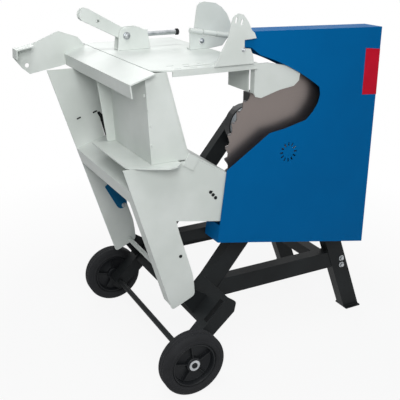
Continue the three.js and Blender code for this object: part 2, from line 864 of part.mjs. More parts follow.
function addBearingHousing() {
  const snout = barAlongY(arbor, bearingDiameter, frontFrameY, motorFrontY + motorFlangeThickness);
  const discDiameter = motorDiameter - seatGap;
  const disc = barAlongY(arbor, discDiameter, motorFrontY, motorFrontY + motorFlangeThickness, 28);
  const bore = barAlongY(arbor, arborDiameter + 2 * seatGap, -cutReach, cutReach);
  add('bearing_housing', cut(join(snout, disc), bore), 'motorGrey');
}

function finnedOutline() {
  const outer = motorDiameter / 2;
  const root = outer - motorFinDepth;
  const pitch = 360 / motorFinCount;
  return Array.from({ length: motorFinCount }).flatMap((_, i) => {
    const corners = [[0.1, outer], [0.4, outer], [0.5, root], [1, root]];
    return corners.map(([share, radius]) => {
      const angle = radians((i + share) * pitch);
      return [arbor[0] + radius * Math.sin(angle), arbor[1] + radius * Math.cos(angle)];
    });
  });
}

function addMotorBody() {
  const endRing = motorLength * 0.12;
  const front = barAlongY(arbor, motorDiameter - motorFinDepth, motorBodyY, motorBodyY + endRing, 28);
  const back = barAlongY(
    arbor,
    motorDiameter - motorFinDepth,
    motorBodyY + motorLength - endRing,
    motorBodyY + motorLength,
    28,
  );
  const middle = plate(finnedOutline(), motorBodyY + endRing * 0.8, motorLength - endRing * 1.6);
  const half = motorFootWidth / 2;
  const footBottom = motorPlateTop + seatGap;
  const foot = plate(
    band(onDiagonal, motorAlong - half, motorAlong + half, footBottom, footBottom + motorFootHeight),
    motorBodyY + endRing,
    motorLength - 2 * endRing,
  );
  add('motor_body', join(middle, front, back, foot), 'motorGrey');
}

function addFanCover() {
  const from = motorBodyY + motorLength + seatGap;
  const outer = motorDiameter / 2;
  const cup = turned([
    [outer, from],
    [outer, from + fanCoverLength * 0.8],
    [outer * 0.86, from + fanCoverLength],
    [0, from + fanCoverLength],
    [0, from + fanCoverLength - fanCoverGauge],
    [outer * 0.86 - fanCoverGauge, from + fanCoverLength - fanCoverGauge],
    [outer - fanCoverGauge, from + fanCoverLength * 0.8],
    [outer - fanCoverGauge, from],
  ], arbor, 28);
  const slots = Array.from({ length: fanSlotCount }, (_, i) => {
    const place = slanted(arbor, (360 * i) / fanSlotCount);
    const outline = band(place, outer * 0.3, outer * 0.72, -fanCoverGauge * 1.4, fanCoverGauge * 1.4);
    return plate(outline, from + fanCoverLength / 2, fanCoverLength);
  });
  add('motor_fan_cover', cut(cup, ...slots), 'blackPlastic');
}

const switchBoxX = arborX - switchBoxWidth / 2;
const switchBoxY = motorBodyY + (motorLength - switchBoxDepth) / 2;
const switchBoxZ = arborZ + motorDiameter / 2 + seatGap;
const buttonZ = switchBoxZ + switchBoxHeight / 2;

function buttonY(side) {
  return switchBoxY + switchBoxDepth / 2 + (side * buttonSpacing) / 2;
}

function addSwitchBox() {
  const shell = block(switchBoxX, switchBoxY, switchBoxZ, switchBoxWidth, switchBoxDepth, switchBoxHeight);
  const room = block(
    switchBoxX + switchBoxWall,
    switchBoxY + switchBoxWall,
    switchBoxZ + switchBoxWall,
    switchBoxWidth - 2 * switchBoxWall,
    switchBoxDepth - 2 * switchBoxWall,
    switchBoxHeight - 2 * switchBoxWall,
  );
  const face = switchBoxX + switchBoxWidth;
  const holes = [-1, 1].map((side) => bar(
    [face - 2 * switchBoxWall, buttonY(side), buttonZ],
    [face + switchBoxWall, buttonY(side), buttonZ],
    buttonDiameter + runGap,
  ));
  add('switch_box', cut(shell, room, ...holes), 'blackPlastic');
}

function addButton(name, side, finish) {
  const face = switchBoxX + switchBoxWidth;
  const inside = face - switchBoxWall - buttonTravel;
  const y = buttonY(side);
  const head = bar([inside, y, buttonZ], [face + buttonProud, y, buttonZ], buttonDiameter);
  add(name, head, finish);
}

function addInlet() {
  const from = switchBoxY + switchBoxDepth + seatGap;
  const middle = [switchBoxX + switchBoxWidth / 2, buttonZ];
  const body = barAlongY(middle, inletDiameter, from, from + inletLength);
  const mouthFrom = from + inletLength * 0.4;
  const mouth = barAlongY(middle, inletDiameter * 0.8, mouthFrom, from + inletLength + runGap);
  const pins = [-1, 1].map((side) => barAlongY(
    [middle[0] + side * inletDiameter * 0.2, middle[1]],
    inletDiameter * 0.12,
    from + inletLength * 0.3,
    from + inletLength * 0.85,
    faces.small,
  ));
  add('power_inlet', join(cut(body, mouth), ...pins), 'blackPlastic');
}

function addMotor() {
  addMotorPlate();
  addBearingHousing();
  addMotorBody();
  addFanCover();
  addSwitchBox();
  addButton('start_button', 1, 'green');
  addButton('stop_button', -1, 'red');
  addInlet();
}

// Cradle: all its places hang on the pivot

const plateTopZ = topPlateZ - cradleGauge;
const troughLow = [pivotX + cradleGauge / 4, pivotZ + troughHeight];
const troughWallLength = (plateTopZ - troughTopGap - troughLow[1]) / Math.cos(radians(troughWallLean));
const onWall = slanted(troughLow, 90 + troughWallLean);
const onFloor = slanted(troughLow, -troughFloorFall);
const legShares = {
  footLeft: [-0.115, -0.081],
  footRight: [0.056, -0.009],
  kneeLow: [0.05, 0.077],
  kneeHigh: [0.038, 0.162],
  crotch: [-0.052, 0.459],
  gussetLeft: [-0.078, 0.56],
  gussetLow: [0.223, 0.502],
  gussetRight: [0.292, 0.489],
};
const onCradle = ([shareX, shareZ]) => [pivotX + shareX * troughHeight, pivotZ + shareZ * troughHeight];
const legFoot = onCradle(legShares.footLeft);
const onSide = slanted(legFoot, 90 + sideEdgeLean);
const channelLeft = onSide(channelFromFoot, 0);
const topPlateBackY = cradleBackY + topPlateOverhang;
const beamBackY = cradleBackY + beamOverhang;
const beamRise = THREE.MathUtils.radToDeg(Math.atan2(topPlateZ - beamFoldZ, topPlateLeftX - beamFoldX));
const beamUnder = (cradleGauge + seatGap) / Math.cos(radians(beamRise));

function troughFloorEnd() {
  return onFloor(troughFloorLength, 0);
}

function beamUnderAt(x) {
  return beamFoldZ + (x - beamFoldX) * Math.tan(radians(beamRise)) - beamUnder;
}

// The point at a given height on the outer face of the trough wall or floor.
function underTrough(place, angle, z) {
  return crossing(place(0, 0), angle, [0, z], 0);
}

const wallBack = slanted(onWall(0, seatGap), 90 + troughWallLean);
const floorUnder = slanted(onFloor(0, -seatGap), -troughFloorFall);
const troughCorner = crossing(wallBack(0, 0), 90 + troughWallLean, floorUnder(0, 0), -troughFloorFall);

function plateHoles() {
  const holeRadius = plateHoleDiameter / 2;
  const holeShares = [[0.182, 0.716], [0.198, 0.692], [0.214, 0.668], [-0.047, 0.304]];
  return holeShares.map((share) => circle(onCradle(share), holeRadius, faces.small));
}

function lowerPlateCorners() {
  return [
    [...onCradle(legShares.footLeft), pivotShaftDiameter / 2],
    [...onCradle(legShares.footRight), pivotShaftDiameter],
    onCradle(legShares.kneeLow),
    [...onCradle(legShares.kneeHigh), pivotShaftDiameter],
    onCradle(legShares.crotch),
    onCradle(legShares.gussetLeft),
    onCradle(legShares.gussetLow),
    onCradle(legShares.gussetRight),
    floorUnder(troughFloorLength - cradleGauge, 0),
  ];
}

function addFrontLegPlate() {
  const top = lipTopZ - cradleGauge - seatGap;
  const outline = rounded([
    ...lowerPlateCorners(),
    underTrough(floorUnder, -troughFloorFall, top),
    crossing(legFoot, 90 + sideEdgeLean, [0, top], 0),
  ]);
  const flangeEnd = channelFromFoot - channelFlangeDepth - seatGap;
  const flange = plate(
    band(onSide, pivotShaftDiameter, flangeEnd, -cradleGauge, 0),
    cradleFrontY + cradleGauge / 2,
    legFlangeDepth,
  );
  const leg = join(
    plate(outline, cradleFrontY, cradleGauge, plateHoles()),
    pivotBush(cradleFrontY + cradleGauge / 2),
    flange,
  );
  add('cradle_front_leg', leg, 'whitePaint');
}

function addFrontCheek() {
  const bottom = lipTopZ + seatGap;
  const left = slanted([outerWallFootX, bottom], 90 + outerWallLean);
  const topLeftX = crossing(left(0, 0), 90 + outerWallLean, [beamFoldX, beamFoldZ - beamUnder], beamRise);
  const outline = [
    left(0, 0),
    underTrough(floorUnder, -troughFloorFall, bottom),
    troughCorner,
    underTrough(wallBack, 90 + troughWallLean, plateTopZ - seatGap),
    [topPlateLeftX + seatGap, plateTopZ - seatGap],
    [topPlateLeftX - cradleGauge, beamUnderAt(topPlateLeftX - cradleGauge)],
    topLeftX,
  ];
  add('cradle_front_cheek', plate(outline, cradleFrontY, cradleGauge), 'whitePaint');
}

function addBackPlate() {
  const beamFlangeFootZ = beamFoldZ - beamFlangeDepth - seatGap;
  const outline = rounded([
    ...lowerPlateCorners(),
    troughCorner,
    underTrough(wallBack, 90 + troughWallLean, plateTopZ - seatGap),
    [topPlateLeftX + seatGap, plateTopZ - seatGap],
    [topPlateLeftX - cradleGauge, beamUnderAt(topPlateLeftX - cradleGauge)],
    [beamFoldX + 2 * cradleGauge, beamUnderAt(beamFoldX + 2 * cradleGauge)],
    [beamFoldX + 2 * cradleGauge, beamFlangeFootZ],
    crossing(legFoot, 90 + sideEdgeLean, [0, beamFlangeFootZ], 0),
  ]);
  const windowShares = [[-0.23, 1.083], [-0.165, 1.02], [-0.106, 0.8], [-0.15, 0.818], [-0.205, 1.065]];
  const shaftHole = circle(pivot, pivotShaftDiameter / 2 + runGap / 2, faces.round);
  const holes = [...plateHoles(), shaftHole, windowShares.map(onCradle)];
  const sheet = plate(outline, cradleBackY - cradleGauge, cradleGauge, holes);
  add('cradle_back_plate', join(sheet, pivotBush(cradleBackY - cradleGauge / 2)), 'whitePaint');
}

const innerFrontY = cradleFrontY + cradleGauge + seatGap;
const innerBackY = cradleBackY - cradleGauge - seatGap;

// The cross channel ties the two legs; its web climbs toward the trough, with a notch for the blade.
function addCrossChannel() {
  const end = crossing(channelLeft, channelRise, floorUnder(0, 0), -troughFloorFall);
  const webEnd = [
    end[0] - (cradleGauge + seatGap) * Math.cos(radians(channelRise)),
    end[1] - (cradleGauge + seatGap) * Math.sin(radians(channelRise)),
  ];
  const path = [onSide(channelFromFoot - channelFlangeDepth, 0), channelLeft, webEnd];
  const channel = folded(path, -cradleGauge, innerFrontY, innerBackY - innerFrontY);
  const notch = block(webEnd[0] - tabLength, slotFrontY, pivotZ, cutReach, slotWidth, troughHeight);
  add('cross_channel', cut(channel, notch), 'whitePaint');
}

// A level lip at the foot of the front cheek and the outer wall.
function addLip() {
  const back = innerFrontY + lipLength;
  const innerX = outerWallFootX + 3 * cradleGauge;
  const width = -lipLeftX;
  const front = cradleFrontY - lipReach;
  const outline = rounded([
    [lipLeftX, back],
    [lipLeftX, cradleFrontY + lipReach * 0.2, lipReach / 4],
    [lipLeftX + width * 0.36, cradleFrontY - lipReach * 0.47],
    [lipLeftX + width * 0.73, front, lipReach / 3],
    [lipLeftX + width * 0.92, front + lipReach * 0.1, lipReach / 3],
    [lipLeftX + width * 1.07, cradleFrontY - lipReach * 0.45],
    [lipLeftX + width * 1.07, cradleFrontY + cradleGauge],
    [innerX, cradleFrontY + cradleGauge],
    [innerX, back],
  ]);
  add('front_lip', levelSheet(outline, lipTopZ - cradleGauge, cradleGauge), 'whitePaint');
}

function addOuterWall() {
  const foot = [outerWallFootX, lipTopZ + seatGap];
  const top = crossing(foot, 90 + outerWallLean, [beamFoldX, beamFoldZ - beamUnder], beamRise);
  const path = [foot, top];
  const depth = lipLength - cradleGauge - seatGap;
  const wall = folded(path, -cradleGauge, innerFrontY, depth);
  const underBeam = slanted([beamFoldX, beamFoldZ - beamUnder], beamRise);
  const trimTop = cutBand(underBeam, -cutReach, cutReach, 0, cutReach);
  const ribY = innerFrontY + depth - cradleGauge;
  const ribFoot = [outerWallFootX - ribWidth, foot[1]];
  const ribTop = crossing(ribFoot, 90 + outerWallLean * 3, [0, beamUnderAt(beamFoldX)], 0);
  const ribRight = [outerWallFootX + cradleGauge, foot[1]];
  const ribUpper = [top[0] + cradleGauge, beamUnderAt(top[0] + cradleGauge)];
  const leftUpper = [beamFoldX + 3 * cradleGauge, beamUnderAt(beamFoldX + 3 * cradleGauge)];
  const leftLower = [beamFoldX + 3 * cradleGauge, ribTop[1] - beamFlangeDepth * 0.6];
  const ribOutline = [ribFoot, ribRight, ribUpper, leftUpper, leftLower];
  add('outer_wall', join(cut(wall, trimTop), plate(ribOutline, ribY, cradleGauge)), 'whitePaint');
}

// Trough wall and floor folded from one sheet, slotted for the blade.
function addTrough() {
  const path = [onWall(troughWallLength, 0), troughLow, troughFloorEnd()];
  const sheet = folded(path, cradleGauge, cradleFrontY, cradleWidth);
  const slot = block(
    pivotX - troughHeight,
    slotFrontY,
    pivotZ,
    2 * troughHeight,
    slotWidth,
    plateTopZ - wallBridge - pivotZ,
  );
  const tabEnd = cradleFrontY - cradleGauge + seatGap;
  const tab = join(
    plate(band(onFloor, cradleGauge, tabLength, -tabDepth, cradleGauge), tabEnd, cradleGauge - 2 * seatGap),
    plate(band(onFloor, cradleGauge, tabLength, 0, cradleGauge), tabEnd, 2 * cradleGauge),
  );
  add('trough_sheet', join(cut(sheet, slot), tab), 'whitePaint');
}

function addTopBeam() {
  const flangeFoot = [beamFoldX + cradleGauge, beamFoldZ - beamFlangeDepth];
  const edge = [topPlateLeftX - seatGap - cradleGauge / 2, 0];
  edge[1] = beamFoldZ + (edge[0] - beamFoldX) * Math.tan(radians(beamRise));
  const path = [flangeFoot, [beamFoldX, beamFoldZ], edge];
  const beam = folded(path, -cradleGauge, beamFrontY, beamBackY - beamFrontY);
  add('top_beam', beam, 'whitePaint');
}

function topSlots() {
  const rows = [topPlateFrontY + topSlotInset, topPlateFrontY + topSlotBackInset];
  return rows.flatMap((y) => Array.from({ length: topSlotCount }, (_, i) => {
    const x = topSlotFirstX + i * topSlotPitch;
    const outline = slotOutline(slanted([x, y], 0), topSlotLength, topSlotWidth);
    return levelSheet(outline, topPlateZ - cutReach, 2 * cutReach);
  }));
}

function addTopPlate() {
  const cornerCut = topLipDepth * 1.5;
  const sheet = levelSheet([
    [topPlateLeftX, topPlateFrontY + cornerCut],
    [topPlateLeftX + 2 * cornerCut, topPlateFrontY],
    [topPlateRightX, topPlateFrontY],
    [topPlateRightX, topPlateBackY],
    [topPlateLeftX, topPlateBackY],
  ], plateTopZ, cradleGauge);
  const lipX = topPlateLeftX + 2 * cornerCut;
  const lip = block(
    lipX,
    topPlateFrontY,
    topPlateZ - topLipDepth,
    topPlateRightX - lipX,
    cradleGauge,
    topLipDepth,
  );
  const slotX = pivotX + topSlotWidth;
  const bladeSlot = block(slotX, slotFrontY, plateTopZ - cradleGauge, cutReach, slotWidth, 3 * cradleGauge);
  add('top_plate', cut(join(sheet, lip), bladeSlot, ...topSlots()), 'whitePaint');
}

// The hood closes the right end of the trough; its arm covers the blade from the front.
function addHood() {
  const under = plateTopZ - seatGap;
  const left = topPlateRightX - cradleGauge;
  const bottom = topPlateZ - hoodWallDrop;
  const armShares = [[1, 0.52], [0.98, 0.28], [0.87, 0.12], [0.55, 0.04], [0.15, -0.16], [0.03, -0.1]];
  const armTopShares = [[0.95, 0.64], [0.66, 0.82], [0.28, 0.98]];
  const onArm = ([shareX, shareZ]) => [left + shareX * hoodArmReach, bottom + shareZ * hoodWallDrop];
  const outline = [
    [left, bottom],
    [left, under],
    ...armTopShares.map(onArm).reverse().map(([x, z]) => [x, Math.min(z, under)]),
    ...armShares.map(onArm),
  ];
  const fold = block(left, cradleFrontY, bottom, cradleGauge, slotFrontY - cradleFrontY, under - bottom);
  add('hood_arm', join(plate(outline, cradleFrontY, cradleGauge), fold), 'whitePaint');

  const wallFrom = slotFrontY + slotWidth;
  const wall = block(left, wallFrom, bottom, cradleGauge, hoodWallBackY - wallFrom, under - bottom);
  add('hood_wall', wall, 'whitePaint');
}

function addHandle() {
  const plateY = beamBackY + seatGap;
  const right = topPlateLeftX - cradleGauge;
  const left = right - handleReach;
  const onHandle = ([shareX, shareZ]) => [left + shareX * handleReach, beamFoldZ + shareZ * handleReach];
  const outlineShares = [
    [1, 0.09], [0.9, 0.215], [0.63, 0.31], [0.28, 0.17], [0, 0.12],
    [-0.01, 0], [0.1, -0.15], [0.2, -0.24], [0.42, -0.2], [0.6, -0.17], [1, -0.08],
  ];
  const hole = circle(onHandle([0.17, -0.12]), plateHoleDiameter, faces.small);
  const side = plate(outlineShares.map(onHandle), plateY, cradleGauge, [hole]);
  const gripPath = [[0.24, 0.165], [0, 0.12], [-0.01, 0]].map(onHandle);
  const grip = folded(gripPath, cradleGauge, plateY - legFlangeDepth, legFlangeDepth + cradleGauge / 2);
  add('handle_bracket', join(side, grip), 'whitePaint');
}

// A blue arm bolted inside the back leg.
function addBrace() {
  const place = slanted(onCradle([-0.032, 0.285]), braceLean);
  const outline = rounded([
    [...place(0, -braceWidth / 2), braceWidth * 0.45],
    [...place(0, braceWidth / 2), braceWidth * 0.45],
    [...place(braceLength, braceWidth * 0.3), braceWidth * 0.1],
    [...place(braceLength, -braceWidth * 0.3), braceWidth * 0.1],
  ]);
  const y = innerBackY - cradleGauge;
  add('blue_brace', plate(outline, y, cradleGauge), 'navyPaint');
}

function addCradle() {
  addFrontLegPlate();
  addFrontCheek();
  addBackPlate();
  addCrossChannel();
  addLip();
  addOuterWall();
  addTrough();
  addTopBeam();
  addTopPlate();
  addHood();
  addHandle();
  addBrace();
}

// Work stops on the top plate

const slottedArmShares = [
  [0, 0], [0.18, 0.31], [0.25, 0.42], [0.32, 0.55], [0.38, 0.79], [0.43, 0.94], [0.54, 1],
  [0.67, 0.97], [0.79, 0.83], [0.89, 0.65], [0.95, 0.61], [1, 0.5], [0.71, 0.48],
  [0.71, 0.32], [0.86, 0.3], [0.92, 0.18], [0.96, 0],
];

// The slotted arm stands at the front edge and passes in front of the guard.
function addSlottedArm() {
  const foot = topPlateZ + seatGap;
  const place = ([shareX, shareZ]) => [
    slottedArmLeftX + shareX * slottedArmWidth,
    foot + shareZ * slottedArmHeight,
  ];
  const slots = [[0.5, 0.87], [0.64, 0.83]].map((share) => slotOutline(
    slanted(place(share), 75),
    topSlotLength * 0.75,
    topSlotWidth,
  ));
  const arm = plate(slottedArmShares.map(place), slottedArmY, cradleGauge, slots);
  const footFlange = block(
    slottedArmLeftX + slottedArmWidth * 0.2,
    slottedArmY,
    foot,
    slottedArmWidth * 0.7,
    slottedArmFootDepth,
    cradleGauge,
  );
  add('slotted_arm', join(arm, footFlange), 'whitePaint');
}

const onStopHinge = slanted([stopHingeX, stopHingeZ], -stopHingeFall);

function addStopBracket() {
  const foot = topPlateZ + seatGap;
  const under = -hingePinDiameter / 2 - seatGap;
  const height = stopHingeZ - foot;
  const outline = [
    [stopHingeX, foot],
    [topPlateRightX, foot],
    [stopHingeX + stopFlapWidth * 0.83, foot + height * 0.1],
    onStopHinge(stopFlapWidth, under),
    onStopHinge(0, under),
  ];
  const hole = circle(
    [stopHingeX + stopFlapWidth * 0.28, foot + height * 0.4],
    plateHoleDiameter,
    faces.small,
  );
  const upright = plate(outline, stopBracketY, cradleGauge, [hole]);
  const footFlange = block(
    stopHingeX,
    stopBracketY,
    foot,
    topPlateRightX - stopHingeX,
    legFlangeDepth / 2,
    cradleGauge,
  );
  const pin = bar(hingeCentre(0), hingeCentre(stopFlapWidth), hingePinDiameter, faces.small);
  const clearKnuckle = hingeBarrel(knuckleShares, hingePinDiameter * 2 + 2 * runGap, runGap);
  const ears = earShares.map((shares) => hingeBarrel(shares, hingePinDiameter * 2, 0));
  add('stop_bracket', join(cut(join(upright, footFlange), clearKnuckle), pin, ...ears), 'whitePaint');
}

function hingeCentre(along) {
  const [x, z] = onStopHinge(along, 0);
  return [x, stopBracketY + cradleGauge / 2, z];
}

const flapShares = [
  [0.1, 0.01], [0.09, 0.38], [0.09, 0.52], [0.14, 0.59], [0.25, 0.63], [0.53, 0.64],
  [0.71, 0.57], [0.88, 0.44], [1, 0.27], [1.04, 0.17], [1, 0.01],
];
const knuckleShares = [0.33, 0.67];
const earShares = [[0, 0.32], [0.68, 1]];

function hingeBarrel([from, to], diameter, extra) {
  return bar(hingeCentre(from * stopFlapWidth - extra), hingeCentre(to * stopFlapWidth + extra), diameter);
}

function addStopFlap() {
  const lift = hingePinDiameter / 2 + seatGap;
  const outline = flapShares.map(([along, height]) => onStopHinge(
    along * stopFlapWidth,
    lift + height * stopFlapWidth,
  ));
  const flap = plate(outline, stopBracketY, cradleGauge);
  const knuckle = hingeBarrel(knuckleShares, hingePinDiameter * 2, 0);
  const bore = hingeBarrel([0, 1], hingePinDiameter + runGap, runGap);
  const earClearance = hingePinDiameter * 2 + 2 * runGap;
  const clearEars = earShares.map((shares) => hingeBarrel(shares, earClearance, runGap));
  add('stop_flap', cut(join(cut(flap, ...clearEars), knuckle), bore), 'whitePaint');
}

// Cam clamp: bracket, lever with an eccentric end, and a push rod

const clampPivot = [clampPivotX, clampPivotZ];
const clampFrontY = clampY - clampWidth / 2;
const onLever = slanted(clampPivot, leverAngle);
const clampFootZ = topPlateZ + seatGap;
const rodStart = clampPivotX + camRadius + camOffset + 1.5 * runGap;
const guideX = rodStart + guideInset;

function addClampBracket() {
  const height = clampPivotZ - clampFootZ;
  const length = guideX + guideWidth - clampPivotX;
  const cheek = (y) => plate(rounded([
    [clampPivotX - camRadius - camOffset, clampFootZ],
    [guideX + guideWidth + camOffset, clampFootZ],
    [guideX + guideWidth, clampPivotZ + rodDiameter / 2, camRadius / 2],
    [clampPivotX + length * 0.55, clampFootZ + height * 1.6, camRadius],
    [clampPivotX - camRadius, clampPivotZ + camRadius, camRadius * 0.8],
  ]), y, clampGauge);
  const base = block(
    clampPivotX - camRadius,
    clampFrontY,
    clampFootZ,
    length + camRadius,
    clampWidth,
    clampGauge,
  );
  const guideHeight = clampPivotZ + rodDiameter - clampFootZ;
  const guide = block(guideX, clampFrontY, clampFootZ, guideWidth, clampWidth, guideHeight);
  const rodBore = bar(
    [guideX - runGap, clampY, clampPivotZ],
    [guideX + guideWidth + runGap, clampY, clampPivotZ],
    rodDiameter + runGap,
  );
  const pinBore = barAlongY(
    clampPivot,
    clampPinDiameter + 2 * seatGap,
    clampFrontY - runGap,
    clampFrontY + clampWidth + runGap,
  );
  const bracket = join(cheek(clampFrontY), cheek(clampFrontY + clampWidth - clampGauge), base, guide);
  add('clamp_bracket', cut(bracket, rodBore, pinBore), 'whitePaint');
}

function addClampLever() {
  const inner = clampWidth - 2 * clampGauge - 2 * runGap;
  const from = clampY - inner / 2;
  const half = leverWidth / 2;
  const camCentre = [clampPivotX + camOffset, clampPivotZ];
  const cam = plate(circle(camCentre, camRadius, 24), from, inner);
  const handle = plate(rounded([
    onLever(0, -half * 0.8),
    onLever(0, half * 0.8),
    [...onLever(leverLength, half), half * 0.9],
    [...onLever(leverLength, -half), half * 0.9],
  ]), from, inner);
  const trough = plate(
    band(onLever, camRadius + camOffset + clampGauge, cutReach, -half * 2, half - clampGauge),
    from + clampGauge,
    inner - 2 * clampGauge,
  );
  const holeOutline = circle(onLever(leverLength * 0.62, 0), plateHoleDiameter * 0.7, faces.small);
  const hangHole = plate(holeOutline, from - runGap, inner * 2);
  const pinBore = barAlongY(clampPivot, clampPinDiameter + runGap, from - runGap, from + inner + runGap);
  add('clamp_lever', cut(join(cut(handle, trough), cam), hangHole, pinBore), 'whitePaint');
  const pinFrom = clampFrontY - clampGauge;
  const pinTo = clampFrontY + clampWidth + clampGauge;
  add('clamp_pin', barAlongY(clampPivot, clampPinDiameter, pinFrom, pinTo), 'zinc');
}

function addClampRod() {
  const end = clampPivotX + rodReach;
  const rod = bar([rodStart, clampY, clampPivotZ], [end, clampY, clampPivotZ], rodDiameter);
  const tip = bar(
    [end + seatGap, clampY, clampPivotZ],
    [end + seatGap + rodTipLength, clampY, clampPivotZ],
    rodTipDiameter,
  );
  add('clamp_rod', rod, 'zinc');
  add('clamp_rod_tip', tip, 'rubber');
}

function addStopsAndClamp() {
  addSlottedArm();
  addStopBracket();
  addStopFlap();
  addClampBracket();
  addClampLever();
  addClampRod();
}

addWheels();
addSideFrame('front', frontFrameY);
addSideFrame('back', backFrameY);
addCrossTubes();
addBrackets();
addPivot();
addGuardFront();
addGuardRim();
addGuardBack();
addBlade();
addMotor();
addCradle();
addStopsAndClamp();

// The frame's origin lies on the floor, under the middle of the whole saw.
const reach = new THREE.Box3().setFromObject(group);
const middle = reach.getCenter(new THREE.Vector3());
group.position.set(-middle.x, -middle.y, -reach.min.z);
group.updateMatrixWorld(true);

export default group;
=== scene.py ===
import json
import math

import bmesh
import bpy
import numpy as np
from mathutils import Matrix, Vector


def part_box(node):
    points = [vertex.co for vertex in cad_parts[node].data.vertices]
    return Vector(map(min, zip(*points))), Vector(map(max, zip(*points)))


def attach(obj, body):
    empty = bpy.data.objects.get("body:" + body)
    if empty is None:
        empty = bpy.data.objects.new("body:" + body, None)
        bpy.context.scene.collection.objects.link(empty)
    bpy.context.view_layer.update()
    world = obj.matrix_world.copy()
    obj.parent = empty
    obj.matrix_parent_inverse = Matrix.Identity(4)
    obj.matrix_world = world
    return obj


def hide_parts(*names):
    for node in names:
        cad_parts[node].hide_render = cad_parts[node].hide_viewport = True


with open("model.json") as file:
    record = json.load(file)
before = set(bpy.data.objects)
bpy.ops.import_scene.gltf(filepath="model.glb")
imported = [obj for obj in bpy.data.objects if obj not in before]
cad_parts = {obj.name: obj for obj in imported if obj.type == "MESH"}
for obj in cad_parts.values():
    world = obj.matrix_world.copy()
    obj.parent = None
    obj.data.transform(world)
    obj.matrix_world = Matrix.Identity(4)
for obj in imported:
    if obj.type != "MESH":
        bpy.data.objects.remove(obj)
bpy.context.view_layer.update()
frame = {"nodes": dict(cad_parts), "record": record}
print("frame loaded")

# Places are written in millimetres from the wheel axle: x toward the blade,
# y back from the outer face of the front wheel, z up from the floor.
tyreLow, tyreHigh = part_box("front_tyre")
zeroX = (tyreLow[0] + tyreHigh[0]) / 2
zeroY = tyreLow[1]
mm = 0.001


def place(x, y, z):
    return (zeroX + x * mm, zeroY + y * mm, z * mm)


def placeAll(points):
    # whole array of millimetre points to metres in the frame
    return np.asarray(points, dtype=float) * mm + np.array([zeroX, zeroY, 0.0])


# Meshes

mergeDistance = 1e-6  # metres


def gridFaces(rows, columns, closedRows, closedColumns):
    # quads between neighbours of a rows x columns grid of points, wrapped where it closes
    rowStarts = np.arange(rows if closedRows else rows - 1)
    columnStarts = np.arange(columns if closedColumns else columns - 1)
    r, c = np.meshgrid(rowStarts, columnStarts, indexing="ij")
    nextRow, nextColumn = (r + 1) % rows, (c + 1) % columns
    quads = np.stack([r * columns + c, r * columns + nextColumn,
                      nextRow * columns + nextColumn, nextRow * columns + c], axis=-1)
    return quads.reshape(-1, 4).tolist()


def tubeFaces(rings, sides):
    # the wall between the rings, and one flat face over each end
    last = (rings - 1) * sides
    ends = [list(range(sides - 1, -1, -1)), list(range(last, last + sides))]
    return gridFaces(rings, sides, False, True) + ends


def joinShapes(shapes):
    # one list of points and faces out of several
    points, faces, count = [], [], 0
    for shapePoints, shapeFaces in shapes:
        points.append(np.asarray(shapePoints, dtype=float))
        faces.extend([[int(i) + count for i in face] for face in shapeFaces])
        count += len(shapePoints)
    return np.concatenate(points), faces


def makePiece(name, shape, material, body, replaced=(), sharpAngle=32):
    points, faces = shape
    mesh = bpy.data.meshes.new(name)
    mesh.from_pydata(points.tolist(), [], faces)
    cleaner = bmesh.new()
    cleaner.from_mesh(mesh)
    bmesh.ops.remove_doubles(cleaner, verts=cleaner.verts, dist=mergeDistance)
    bmesh.ops.recalc_face_normals(cleaner, faces=cleaner.faces)
    cleaner.to_mesh(mesh)
    cleaner.free()
    mesh.shade_smooth()
    mesh.set_sharp_from_angle(angle=math.radians(sharpAngle))
    mesh.materials.append(material)
    piece = bpy.data.objects.new(name, mesh)
    bpy.context.scene.collection.objects.link(piece)
    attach(piece, body)
    if replaced:
        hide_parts(*replaced)


def turnedShape(profile, x, z, steps, ripple=None):
    # a closed profile of radius and y, turned about a Y axis through x, z;
    # ripple adds to the radius by profile row and angle
    profile = np.asarray(profile, dtype=float)
    angle = np.arange(steps) * 2 * math.pi / steps
    radius = np.repeat(profile[:, :1], steps, axis=1)
    if ripple is not None:
        radius = radius + ripple(profile, angle)
    y = np.repeat(profile[:, 1:2], steps, axis=1)
    points = np.stack([x + radius * np.cos(angle), y, z + radius * np.sin(angle)], axis=-1)
    return placeAll(points.reshape(-1, 3)), gridFaces(len(profile), steps, True, True)


def plateShape(outline, yLow, yHigh):
    # a flat outline of x and z carried from one y to another, closed by its two faces
    outline = np.asarray(outline, dtype=float)
    count = len(outline)
    levels = np.repeat([yLow, yHigh], count)
    flat = np.tile(outline, (2, 1))
    points = placeAll(np.stack([flat[:, 0], levels, flat[:, 1]], axis=-1))
    faces = gridFaces(2, count, False, True)
    return points, faces + [list(range(count)), list(range(2 * count - 1, count - 1, -1))]


def crossRing(axis, sides, turn=0.0):
    # unit directions round an axis: the cosine of each angle along one cross direction
    # plus its sine along the other
    across = axis.orthogonal().normalized()
    other = axis.cross(across)
    angle = turn + np.arange(sides) * 2 * math.pi / sides
    return np.cos(angle)[:, None] * np.array(across) + np.sin(angle)[:, None] * np.array(other)


def barShape(start, axis, profile, sides, turn=0.0):
    # rings about a straight axis, closed by flat ends; the profile lists distance and radius,
    # and each ring is its centre plus the radius times the directions round the axis
    axis = Vector(axis).normalized()
    profile = np.asarray(profile, dtype=float)
    centre = np.array(start, dtype=float) + profile[:, :1] * np.array(axis)
    ring = crossRing(axis, sides, turn)
    points = centre[:, None, :] + ring[None, :, :] * profile[:, 1][:, None, None]
    return placeAll(points.reshape(-1, 3)), tubeFaces(len(profile), sides)


def chamferedBar(start, axis, radius, length, sides, chamfer):
    # a round bar whose two end edges are cut back at 45 degrees
    profile = [(0, radius - chamfer), (chamfer, radius),
               (length - chamfer, radius), (length, radius - chamfer)]
    return barShape(start, axis, profile, sides)


